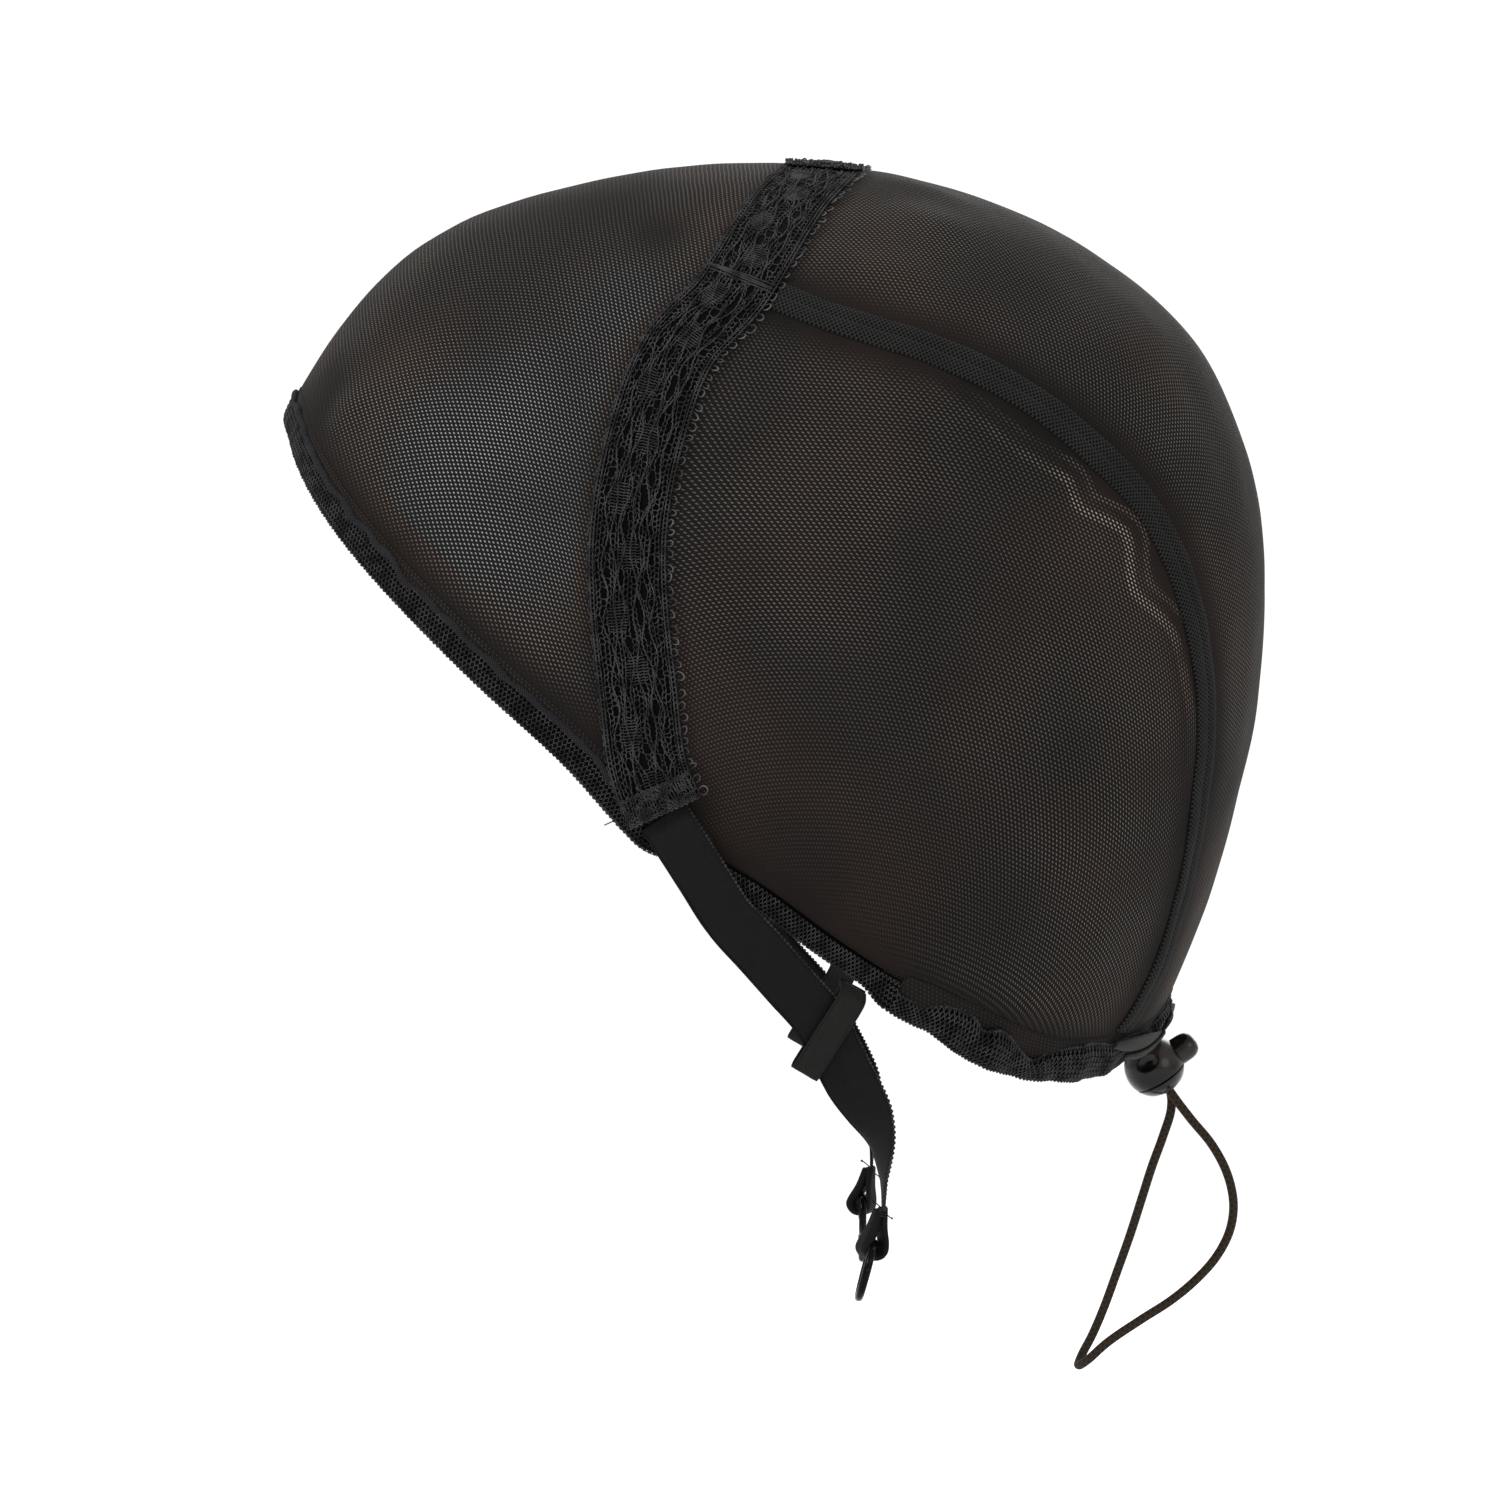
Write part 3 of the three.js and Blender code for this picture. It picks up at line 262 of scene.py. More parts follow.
def noise(x, y, seed):
    """Smooth made-up waviness from a few sines, from about -1 to 1."""
    if seed not in waves:
        rng = np.random.default_rng(seed)
        waves[seed] = [(*rng.normal(size=2), rng.uniform(0, 2 * math.pi)) for _ in range(5)]
    return sum(np.sin(kx * x + ky * y + phase) for kx, ky, phase in waves[seed]) / 3


waves = {}


# Skin of the cap

def reach_at(turn):
    """The outline's reach at a turn in degrees, smooth through the profile's rows."""
    turns, reach = PROFILE[:, 0], PROFILE[:, 1]
    count = len(PROFILE)
    wrapped = turns[0] + np.mod(turn - turns[0], 360)
    k = np.searchsorted(turns, wrapped, side="right") - 1
    row = lambda i: (turns[i % count] + 360 * (i // count), reach[i % count])
    (t0, r0), (t1, r1), (t2, r2), (t3, r3) = row(k - 1), row(k), row(k + 1), row(k + 2)
    span = t2 - t1
    low_slope = (r2 - r0) / (t2 - t0) * span
    high_slope = (r3 - r1) / (t3 - t1) * span
    s = (wrapped - t1) / span
    return r1 + (r2 - r1) * s * s * (3 - 2 * s) + s * (1 - s) * ((1 - s) * low_slope - s * high_slope)


def skin_base(d):
    """Place in mm of a direction (across, along, up) on the skin, without the folds."""
    flat = np.hypot(d[..., 1], d[..., 2])
    side = flat / reach_at(np.degrees(np.arctan2(d[..., 2], d[..., 1])))
    size = (np.abs(d[..., 0]) ** ROUNDNESS + side ** ROUNDNESS) ** (-1 / ROUNDNESS)
    along = d[..., 1] * size
    return np.stack([
        d[..., 0] * size * HALF_WIDTH * (1 + BACK_FULLNESS * along),
        along * HALF_LENGTH - CENTRE_FORWARD,
        (d[..., 2] * size - 1) * CROWN_RISE,
    ], -1)


def direction_of(p):
    """Direction of a place in mm, the reverse of skin_base."""
    along = (p[..., 1] + CENTRE_FORWARD) / HALF_LENGTH
    up = p[..., 2] / CROWN_RISE + 1
    return np.stack([p[..., 0] / (HALF_WIDTH * (1 + BACK_FULLNESS * along)), along, up], -1)


def skin_normal(d):
    """Outward normal of the skin, from two small steps across it."""
    step = 0.01
    d = unit(d)
    spare = np.where(np.abs(d[..., :1]) < 0.7, [1.0, 0, 0], [0, 1.0, 0])
    first = unit(np.cross(d, spare))
    second = np.cross(d, first)
    slope = lambda t: skin_base(d + t * step) - skin_base(d - t * step)
    normal = unit(np.cross(slope(first), slope(second)))
    return np.where((normal * d).sum(-1, keepdims=True) < 0, -normal, normal)


def row_direction(row, side=1):
    """Direction of a row of one of the tables, on the wearer's left (1) or right (-1)."""
    across, along, up = row[:3]
    if across is FREE:
        ratio = math.hypot(along, up) / float(reach_at(math.degrees(math.atan2(up, along))))
        across = max(0.0, 1 - ratio ** ROUNDNESS) ** (1 / ROUNDNESS)
    return np.array([side * across, along, up], float)


def fold_height(p):
    """How far the soft folds raise the skin at a place."""
    height = np.zeros(p.shape[:-1])
    for start, end, high, wide in FOLDS:
        for side in (1, -1):
            a = skin_base(row_direction((FREE, *start), side))
            b = skin_base(row_direction((FREE, *end), side))
            share = np.clip(((p - a) @ (b - a)) / ((b - a) @ (b - a)), 0, 1)
            away = np.linalg.norm(p - (a + share[..., None] * (b - a)), axis=-1) / (wide / 2)
            height += high * np.sin(np.pi * share) * np.exp(-away * away / 2)
    return height


def skin(d, lift):
    """(places, outward normals) on the skin, lifted by some mm."""
    base, normal = skin_base(d), skin_normal(d)
    return base + normal * (lift + fold_height(base))[..., None], normal


def catmull(points, places, closed=False):
    """Centripetal curve through points, at places counted in rows."""
    points = np.asarray(points, float)
    count = len(points)
    if closed:
        k = np.floor(places).astype(int)
        near = [points[(k + i) % count] for i in (-1, 0, 1, 2)]
    else:
        k = np.clip(np.floor(places).astype(int), 0, count - 2)
        padded = np.vstack([2 * points[:1] - points[1:2], points, 2 * points[-1:] - points[-2:-1]])
        near = [padded[k + i] for i in (0, 1, 2, 3)]
    p0, p1, p2, p3 = near
    w = (places - k)[:, None]
    gap = lambda a, b: np.maximum(np.linalg.norm(b - a, axis=1, keepdims=True) ** 0.5, 1e-4)
    d0, d1, d2 = gap(p0, p1), gap(p1, p2), gap(p2, p3)
    t1 = ((p1 - p0) / d0 - (p2 - p0) / (d0 + d1) + (p2 - p1) / d1) * d1
    t2 = ((p2 - p1) / d1 - (p3 - p1) / (d1 + d2) + (p3 - p2) / d2) * d1
    return p1 + t1 * w + (-3 * p1 + 3 * p2 - 2 * t1 - t2) * w ** 2 + (2 * p1 - 2 * p2 + t1 + t2) * w ** 3


class Line:
    """A curve on the skin, walked by its own length."""

    FINENESS = 60

    def __init__(self, directions, closed=False):
        rows = skin_base(np.array(directions))
        spans = len(rows) - (0 if closed else 1)
        self.closed = closed
        places = np.linspace(0, spans, spans * self.FINENESS + 1)
        self.dense = catmull(rows, places[:-1] if closed else places, closed)
        if closed:
            self.dense = np.vstack([self.dense, self.dense[:1]])
        self.walked = lengths_along(self.dense)
        self.length = self.walked[-1]

    def point(self, share):
        share = np.mod(share, 1) if self.closed else np.clip(share, 0, 1)
        return np.stack([np.interp(share * self.length, self.walked, self.dense[:, i]) for i in range(3)], -1)

    def along(self, share):
        return direction_of(self.point(share))

    def beside(self, share, distance):
        """Direction some mm to the side: the outward normal crossed with the way it runs."""
        share, distance = np.broadcast_arrays(np.asarray(share, float), distance)
        step = 0.002
        here = self.along(share)
        run = self.point(share + step) - self.point(share - step)
        sideways = unit(np.cross(skin_normal(here), run))
        return direction_of(skin_base(here) + sideways * distance[..., None])

    def nearest(self, point):
        half = len(self.dense) // 2 if self.closed else len(self.dense)
        k = int(np.argmin(np.linalg.norm(self.dense[:half + 1] - point, axis=1)))
        return self.walked[k] / self.length


def mirrored(rows):
    """Directions of a table's rows on the left, and the same rows on the right."""
    left = [row_direction(row) for row in rows]
    return left, [row_direction(row, -1) for row in rows]


left_rows, right_rows = mirrored(HEM_ROWS)
hem_line = Line(left_rows + right_rows[1:-1][::-1], closed=True)
left_rows, right_rows = mirrored(LACE_ROWS)
lace_line = Line(left_rows + right_rows[:-1][::-1])
lace_foot = lace_line.point(0.0)
tuck_share = lace_line.nearest(skin_base(row_direction(TAPE_ROWS[0])))
ear_share = hem_line.nearest(lace_foot)
casing_share = hem_line.nearest(skin_base(row_direction(CASING_START)))
tape_foot_share = hem_line.nearest(skin_base(row_direction(TAPE_ROWS[-1])))


def hem_half(share):
    """Half the width of the hem, or of the casing where it takes over from the hem."""
    share = np.mod(share, 1)
    from_front = np.minimum(share, 1 - share) * hem_line.length
    start = casing_share * hem_line.length
    blend = smoothstep(from_front, start - CASING_BLEND, start + CASING_BLEND)
    return lerp(HEM_WIDTH, CASING_HEIGHT, blend) / 2


def hem_edge(share):
    """Where the net panels end, beside the hem or the casing."""
    return hem_line.beside(share, hem_half(share) + EDGE_SPACE)


def tape_path(side):
    """Seam from the lace band to the nape, under the seam tape."""
    rows = [lace_line.along(tuck_share), *mirrored(TAPE_ROWS)[0][1:-1], hem_edge(tape_foot_share)]
    return Line([row * [side, 1, 1] for row in rows])


tape_lines = {"left": tape_path(1), "right": tape_path(-1)}
hem_places = hem_line.point(np.arange(400) / 400)


def least_distance(points, others):
    """Distance from each point to the nearest of the others, a few thousand at a time."""
    flat = points.reshape(-1, 3)
    out = np.empty(len(flat))
    for k in range(0, len(flat), 4000):
        out[k:k + 4000] = np.linalg.norm(flat[k:k + 4000, None] - others[None], axis=2).min(1)
    return out.reshape(points.shape[:-1])


def clear_lift(points):
    """Lift that clears the net, or the hem where a band crosses it."""
    away = least_distance(points, hem_places)
    start = HEM_WIDTH / 2 + EDGE_SPACE
    return GAP + lerp(HEM_WALL, NET_WALL, smoothstep(away, start, start + LACE_STEP))


class Band:
    """A strip beside a line: a is mm along it, w mm across. Places come from a fine net."""

    STEP = 0.6

    def __init__(self, line, reach):
        self.line, self.reach = line, reach
        self.rows = int(math.ceil(line.length / self.STEP))
        self.step = line.length / self.rows
        a = np.arange(self.rows + 1) * self.step
        w = np.arange(-reach, reach + self.STEP, self.STEP)
        grid_a, grid_w = np.meshgrid(a, w, indexing="ij")
        self.base, self.normal = skin(line.beside(grid_a / line.length, grid_w), np.zeros(grid_a.shape))

    def place(self, a, w, lift):
        """(places, outward normals) at a and w, lifted off the skin by lift."""
        a, w, lift = np.broadcast_arrays(a, w, lift)
        a = np.mod(a, self.line.length) if self.line.closed else a
        x = np.clip(a / self.step, 0, self.rows - 1e-6)
        y = np.clip((w + self.reach) / self.STEP, 0, self.base.shape[1] - 1 - 1e-6)
        i, j = x.astype(int), y.astype(int)
        s, t = (x - i)[..., None], (y - j)[..., None]
        mixed = [lerp(lerp(v[i, j], v[i, j + 1], t), lerp(v[i + 1, j], v[i + 1, j + 1], t), s)
                 for v in (self.base, self.normal)]
        return mixed[0] + mixed[1] * lift[..., None], mixed[1]


# Materials

class Graph:
    """A material's nodes, with short calls for the ones used here."""

    def __init__(self, name):
        self.material = bpy.data.materials.new(name)
        self.material.use_nodes = True
        self.nodes = self.material.node_tree.nodes
        self.links = self.material.node_tree.links
        self.shader = self.nodes["Principled BSDF"]

    def join(self, value, socket):
        if isinstance(value, bpy.types.NodeSocket):
            self.links.new(value, socket)
        else:
            socket.default_value = value

    def add(self, kind, out=0, inputs=(), **options):
        node = self.nodes.new(kind)
        for key, value in options.items():
            setattr(node, key, value)
        for key, value in dict(inputs).items():
            self.join(value, node.inputs[key])
        return node.outputs[out]

    def math(self, operation, a, b=0.0, c=0.0):
        return self.add("ShaderNodeMath", inputs={0: a, 1: b, 2: c}, operation=operation)

    def steps(self, value, low, high, to_low=0.0, to_high=1.0):
        return self.add("ShaderNodeMapRange", inputs={
            "Value": value, "From Min": low, "From Max": high, "To Min": to_low, "To Max": to_high,
        }, interpolation_type="SMOOTHSTEP")

    def mix(self, share, a, b):
        return self.add("ShaderNodeMix", 2, {0: share, 6: a, 7: b}, data_type="RGBA")

    def noise(self, vector, scale, detail=2.0, rough=0.5):
        return self.add("ShaderNodeTexNoise", 0, {
            "Vector": vector, "Scale": scale, "Detail": detail, "Roughness": rough,
        })

    def parts(self, name):
        """(vector, first, second, third) of one of the mesh's own vectors."""
        vector = self.add("ShaderNodeAttribute", "Vector", attribute_name=name)
        split = self.add("ShaderNodeSeparateXYZ", inputs={0: vector}).node
        return vector, *split.outputs

    def cloth(self):
        """(vector, u, v, third) of the piece's own cloth coordinates, in mm; on the net, third is its painted
        pore light.
        """
        return self.parts("cloth")

    def place(self):
        return self.add("ShaderNodeTexCoord", "Object")

    def bump(self, height, distance, strength=1.0):
        normal = self.add("ShaderNodeBump", inputs={
            "Height": height, "Distance": distance, "Strength": strength,
        })
        self.join(normal, self.shader.inputs["Normal"])

    def finish(self, color, rough, specular, sheen=0.0, sheen_rough=0.4, sheen_tint=0.9):
        """Sets the shader; specular level and sheen are plain numbers on its own sockets."""
        self.join(color, self.shader.inputs["Base Color"])
        self.join(rough, self.shader.inputs["Roughness"])
        self.shader.inputs["Specular IOR Level"].default_value = specular
        if sheen:
            self.shader.inputs["Sheen Weight"].default_value = sheen
            self.shader.inputs["Sheen Roughness"].default_value = sheen_rough
            self.shader.inputs["Sheen Tint"].default_value = grey(sheen_tint)
        return self.material


def grey(value, warm=0.0, cool=0.0):
    """A near-grey colour, towards red with warm and towards blue with cool."""
    return (value * (1 + warm), value, value * (1 - warm + cool), 1.0)


def dots(g, u, v, pitch, row_pitch, slant=0.0):
    """Distance in mm to the nearest of staggered dots; slant leans them over."""
    row = g.math("DIVIDE", v, row_pitch)
    odd = g.math("MULTIPLY", g.math("FLOORED_MODULO", g.math("FLOOR", row), 2.0), 0.5)
    column = g.math("ADD", g.math("DIVIDE", u, pitch), odd)
    dx = g.math("MULTIPLY", g.math("SUBTRACT", g.math("FRACT", column), 0.5), pitch)
    dy = g.math("MULTIPLY", g.math("SUBTRACT", g.math("FRACT", row), 0.5), row_pitch)
    dx = g.math("ADD", dx, g.math("MULTIPLY", dy, slant))
    return g.math("SQRT", g.math("ADD", g.math("MULTIPLY", dx, dx), g.math("MULTIPLY", dy, dy)))


def net_material():
    """Fine net: pale dots painted in its pores stand for light seen through them, brighter where more pore
    light is painted.
    """
    g = Graph("net")
    vector, u, v, pore_light = g.cloth()
    away, strength = g.parts("seam")[1:3]
    # Pores: painted light seen through them, as pale dots
    pore = g.steps(dots(g, u, v, PORE_PITCH, PORE_ROW, PORE_SLANT), 0.1, 0.25, 1.0, 0.0)
    light_patches = g.steps(g.noise(g.place(), 24.0, 3.0), 0.34, 0.64, 0.5, 1.0)
    # A wavy line of pores painted paler beside the seam tape: more painted light seen through them
    second = g.math("ABSOLUTE", g.math("SUBTRACT", away, 3.4))
    line = g.math("ADD", g.steps(g.math("ABSOLUTE", away), 0.5, 1.3, 1.0, 0.0),
                  g.steps(second, 0.3, 0.9, 0.4, 0.0))
    broken = g.steps(g.noise(g.place(), 90.0), 0.35, 0.5, 0.35, 1.0)
    line = g.math("MULTIPLY", line, g.math("MULTIPLY", strength, broken))
    # Painted light in the pores: the pore light, in soft patches, with the pale line added
    light = g.math("MULTIPLY", pore_light, light_patches)
    light = g.math("MULTIPLY", pore, g.math("MINIMUM", g.math("ADD", light, line), 1.0))
    bright = g.steps(pore_light, 0.28, 0.5)
    tint = g.math("MULTIPLY", g.steps(g.noise(g.place(), 26.0, 2.0), 0.42, 0.66),
                  g.math("SUBTRACT", 1.0, bright))
    tone = g.noise(g.place(), 45.0, 3.0)
    yarn = g.mix(tone, (0.0052, 0.0045, 0.0042, 1.0), (0.0086, 0.0074, 0.0069, 1.0))
    yarn = g.mix(g.math("MULTIPLY", tint, 0.6), yarn, (0.0115, 0.0076, 0.0064, 1.0))
    yarn = g.mix(bright, yarn, grey(0.0065, 0.03))
    # Colour of the painted light in the pores: cream where it is weak, bluish white where it is strong
    pale = g.mix(bright, (0.4, 0.35, 0.3, 1.0), (0.37, 0.37, 0.39, 1.0))
    color = g.mix(light, yarn, g.mix(tint, pale, (0.35, 0.28, 0.23, 1.0)))
    fibre = g.noise(vector, 4.0, 3.0, 0.6)
    height = g.math("SUBTRACT", g.math("MULTIPLY", fibre, 0.4), pore)
    g.bump(height, 0.0001, 0.7)
    return g.finish(color, 0.85, 0.04, sheen=0.03, sheen_rough=0.35)


def yarn_material(name, value, cool, rough=0.8):
    """Fine fuzzy yarn: tone from noise, and fibres as bump along the strand."""
    g = Graph(name)
    vector = g.cloth()[0]
    tone = g.noise(g.place(), 380.0, 3.0)
    fibre = g.noise(vector, 6.0, 4.0, 0.65)
    dark, pale = grey(value * 0.5, 0.0, cool), grey(value * 1.6, 0.0, cool)
    color = g.mix(g.steps(tone, 0.34, 0.66), dark, pale)
    g.bump(fibre, 0.00008, 0.7)
    return g.finish(color, rough, 0.06, sheen=0.03)


def knit_material(name, value, cool, pitch, row_pitch, hole=0.3, depth=0.00012, plain=0.0):
    """Dense fine knit: small pits in staggered rows, painted dark as shade, with none within plain mm of its
    middle.
    """
    g = Graph(name)
    vector, u, v, _ = g.cloth()
    far = dots(g, u, v, pitch, row_pitch)
    pit = g.steps(far, hole * pitch, hole * pitch * 1.9, 1.0, 0.0)
    if plain:
        pit = g.math("MULTIPLY", pit, g.steps(g.math("ABSOLUTE", v), plain * 0.6, plain * 1.2))
    tone = g.noise(g.place(), 120.0, 3.0)
    solid = g.mix(tone, grey(value * 0.75, 0.0, cool), grey(value * 1.35, 0.0, cool))
    # Painted shade in the pits
    color = g.mix(pit, solid, grey(value * 0.12))
    height = g.math("SUBTRACT", g.math("MULTIPLY", g.noise(vector, 7.0, 3.0), 0.4), pit)
    g.bump(height, depth, 0.9)
    return g.finish(color, 0.85, 0.04, sheen=0.02)


def satin_material(name, value, warm, rough, weave, rib, flecks):
    """Woven ribbon: fine diagonal weave, slight ribs, small pale flecks and a soft sheen."""
    g = Graph(name)
    vector, u, v, _ = g.cloth()
    twill = g.math("SINE", g.math("MULTIPLY", g.math("ADD", u, g.math("MULTIPLY", v, 0.55)), weave))
    ribs = g.math("SINE", g.math("MULTIPLY", u, rib))
    fleck = g.steps(g.noise(vector, 3.2, 5.0, 0.7), 0.62, 0.74)
    tone = g.noise(vector, 0.35, 3.0)
    cloth = g.mix(tone, grey(value * 0.8, warm), grey(value * 1.2, warm))
    color = g.mix(g.math("MULTIPLY", fleck, flecks), cloth, grey(value * 4.0, warm))
    height = g.math("ADD", g.math("MULTIPLY", twill, 0.5), g.math("MULTIPLY", ribs, 0.35))
    g.bump(height, 0.00005, 0.6)
    return g.finish(color, rough, 0.06, sheen=0.02, sheen_rough=0.3)


def plastic_material():
    """Black moulded plastic: painted reflections as warm paler patches in its colour, and a little uneven in
    gloss.
    """
    g = Graph("lock_plastic")
    # Painted reflections: warm paler patches in the colour
    painted_reflection = g.steps(g.noise(g.place(), 150.0, 2.0, 0.5), 0.4, 0.66)
    color = g.mix(painted_reflection, (0.003, 0.0028, 0.0027, 1.0), (0.021, 0.0155, 0.0125, 1.0))
    smear = g.noise(g.place(), 300.0, 3.0, 0.6)
    rough = g.steps(smear, 0.35, 0.7, 0.14, 0.26)
    g.bump(g.noise(g.place(), 500.0, 2.0), 0.00004, 0.15)
    return g.finish(color, rough, 0.18)


def metal_material():
    """Gloss black coated wire with small paler spots in its colour."""
    g = Graph("ring_metal")
    # Small paler spots in the colour
    pale_spots = g.steps(g.noise(g.place(), 900.0, 4.0, 0.65), 0.56, 0.72)
    color = g.mix(pale_spots, grey(0.0015), grey(0.02))
    rough = g.steps(g.noise(g.place(), 1400.0, 3.0), 0.3, 0.7, 0.1, 0.26)
    g.bump(g.noise(g.place(), 1100.0, 3.0), 0.00005, 0.3)
    return g.finish(color, rough, 0.05)


def cord_material():
    """Plaited elastic cord: crossing ridges that run round it both ways, with painted shade in the grooves
    between them.
    """
    g = Graph("cord_elastic")
    vector, u, v, _ = g.cloth()
    twist = g.math("SINE", g.math("ADD", g.math("MULTIPLY", u, 5.2), g.math("MULTIPLY", v, 3.0)))
    counter = g.math("SINE", g.math("SUBTRACT", g.math("MULTIPLY", u, 5.2), g.math("MULTIPLY", v, 3.0)))
    plait = g.math("MAXIMUM", twist, counter)
    tone = g.noise(vector, 1.5, 3.0)
    raised = g.mix(tone, (0.0175, 0.0125, 0.008, 1.0), (0.025, 0.0175, 0.0105, 1.0))
    # Painted shade: the grooves between the ridges are darker
    color = g.mix(g.steps(plait, -0.4, 0.9), (0.0095, 0.007, 0.0048, 1.0), raised)
    g.bump(g.math("ADD", plait, g.math("MULTIPLY", tone, 0.5)), 0.00005, 0.6)
    return g.finish(color, 0.7, 0.08, sheen=0.03, sheen_tint=1.0)


def paper_material():
    g = Graph("floor_white")
    color = g.mix(g.noise(g.place(), 8.0, 2.0), grey(0.94), grey(0.96))
    return g.finish(color, 0.95, 0.0)


NET = net_material()
LACE = yarn_material("lace_yarn", 0.0235, 0.07)
PICOT = yarn_material("lace_picot", 0.055, 0.04)
# Lace ground: the lace's fine ground, made near-black as painted shade seen through the lace's holes
LACE_BACK_SHADE = knit_material("lace_ground", 0.0022, 0.1, 0.45, 0.4)
HEM_YARN = yarn_material("hem_yarn", 0.021, 0.04, 0.75)
# Hem core: the hem's inner layer, near-black as painted shade seen through the honeycomb and the casing's
# beads
HEM_CORE_SHADE = knit_material("hem_core", 0.001, 0.1, 0.5, 0.45)
ROLL = knit_material("rolled_edge", 0.0155, 0.12, 0.5, 0.42, 0.2)
TAPE = knit_material("seam_tape", 0.0145, -0.03, 0.9, 0.56, 0.2, 0.0002, 0.15)
STRAP = satin_material("strap_satin", 0.0045, 0.0, 0.75, 15.0, 9.0, 0.3)
EDGE = yarn_material("strap_edge", 0.017, 0.04, 0.7)
RIBBON = satin_material("keeper_ribbon", 0.0085, 0.04, 0.8, 11.0, 13.0, 1.0)
SATIN = satin_material("nape_satin", 0.01, 0.05, 0.6, 11.0, 13.0, 0.0)
PLASTIC = plastic_material()
METAL = metal_material()
CORD = cord_material()
THREAD = yarn_material("thread", 0.008, 0.0, 0.6)


# Mesh building

class Soup:
    """Collects grids and strands, and becomes one mesh."""

    def __init__(self):
        self.points, self.quads, self.cloth, self.slots, self.count = [], [], [], [], 0
        self.materials, self.extra = [], {}

    def add(self, points, quads, cloth, material):
        if material not in self.materials:
            self.materials.append(material)
        self.points.append(points)
        self.quads.append(quads + self.count)
        self.cloth.append(cloth)
        self.slots.append(np.full(len(quads), self.materials.index(material)))
        self.count += len(points)

    def grid(self, places, cloth, material, wrap=False):
        """A sheet from an array of rows and columns of places."""
        rows, columns = places.shape[:2]
        ids = np.arange(rows * columns).reshape(rows, columns)
        if wrap:
            ids = np.hstack([ids, ids[:, :1]])
        self.add(places.reshape(-1, 3), quads_of(ids), cloth.reshape(-1, 3), material)

    def shell(self, outer, inner, cloth, material):
        """A closed sheet: two grids, joined round their edges."""
        rows, columns = outer.shape[:2]
        ids = np.arange(rows * columns).reshape(rows, columns)
        top = quads_of(ids)
        bottom = (top + rows * columns)[:, [0, 3, 2, 1]]
        rim = np.concatenate([ids[:-1, 0], ids[-1, :-1], ids[:0:-1, -1], ids[0, :0:-1]])
        after = np.roll(rim, -1)
        sides = np.stack([rim, rim + rows * columns, after + rows * columns, after], -1)
        flat = cloth.reshape(-1, 3)
        self.add(np.vstack([outer.reshape(-1, 3), inner.reshape(-1, 3)]),
                 np.vstack([top, bottom, sides]), np.vstack([flat, flat]), material)

    def strand(self, centre, up, radius, material, sides=4, closed=False, flat=1.0):
        """A yarn along a row of places, with up across it; flat squeezes it along up."""
        count = len(centre)
        if closed:
            run = np.roll(centre, -1, 0) - np.roll(centre, 1, 0)
        else:
            run = np.gradient(centre, axis=0)
        run = unit(run)
        side = unit(np.cross(run, up))
        lift = np.cross(side, run)
        angles = (np.arange(sides) + 0.5) * 2 * math.pi / sides
        radius = np.broadcast_to(radius, count)[:, None, None]
        ring = (side[:, None] * np.cos(angles)[None, :, None]
                + lift[:, None] * (flat * np.sin(angles))[None, :, None]) * radius
        walked = lengths_along(centre)
        cloth = np.stack([*np.broadcast_arrays(walked[:, None], angles[None]), np.zeros((count, sides))], -1)
        ids = np.arange(count * sides).reshape(count, sides)
        ids = np.hstack([ids, ids[:, :1]])
        if closed:
            ids = np.vstack([ids, ids[:1]])
        quads = quads_of(ids)
        if not closed and sides == 4:
            quads = np.vstack([quads, ids[0, 3::-1][None], ids[-1, :4][None]])
        self.add((centre[:, None] + ring).reshape(-1, 3), quads, cloth.reshape(-1, 3), material)

    def lay_sheet(self, band, a, w, high, low, material, third=0.0, cloth_w=None):
        """A closed sheet on a band, between two lifts."""
        outer, _ = band.place(a, w, high)
        inner, _ = band.place(a, w, low)
        cloth = np.stack([a, w if cloth_w is None else cloth_w, np.full(np.shape(w), third)], -1)
        self.shell(outer, inner, cloth, material)

    def lay_strand(self, band, a, w, lift, radius, material, sides=4, flat=1.0):
        """A yarn on a band."""
        places, normal = band.place(a, w, lift)
        self.strand(places, normal, radius, material, sides, flat=flat)

    def make(self, name, node, body="cap"):
        """The mesh as a piece that stands for one of the part's solids."""
        points = np.vstack(self.points) * MM
        quads = np.vstack(self.quads)
        mesh = bpy.data.meshes.new(name)
        mesh.vertices.add(len(points))
        mesh.vertices.foreach_set("co", points.ravel())
        mesh.loops.add(quads.size)
        mesh.loops.foreach_set("vertex_index", quads.ravel().astype(np.int32))
        mesh.polygons.add(len(quads))
        mesh.polygons.foreach_set("loop_start", np.arange(0, quads.size, 4, dtype=np.int32))
        mesh.polygons.foreach_set("material_index", np.concatenate(self.slots).astype(np.int32))
        mesh.polygons.foreach_set("use_smooth", np.full(len(quads), True))
        for material in self.materials:
            mesh.materials.append(material)
        mesh.update(calc_edges=True)
        cloth = mesh.attributes.new("cloth", "FLOAT_VECTOR", "POINT")
        cloth.data.foreach_set("vector", np.vstack(self.cloth).ravel())
        for key, values in self.extra.items():
            more = mesh.attributes.new(key, "FLOAT_VECTOR", "POINT")
            more.data.foreach_set("vector", values.ravel())
        piece = bpy.data.objects.new(name, mesh)
        bpy.context.scene.collection.objects.link(piece)
        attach(piece, body)
        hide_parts(node)
        return piece


# Net panels

FLATTEN_ROUNDS = 600
FLATTEN_PULL = 1.6
COARSE_ROWS = 36
COARSE_COLUMNS = 18


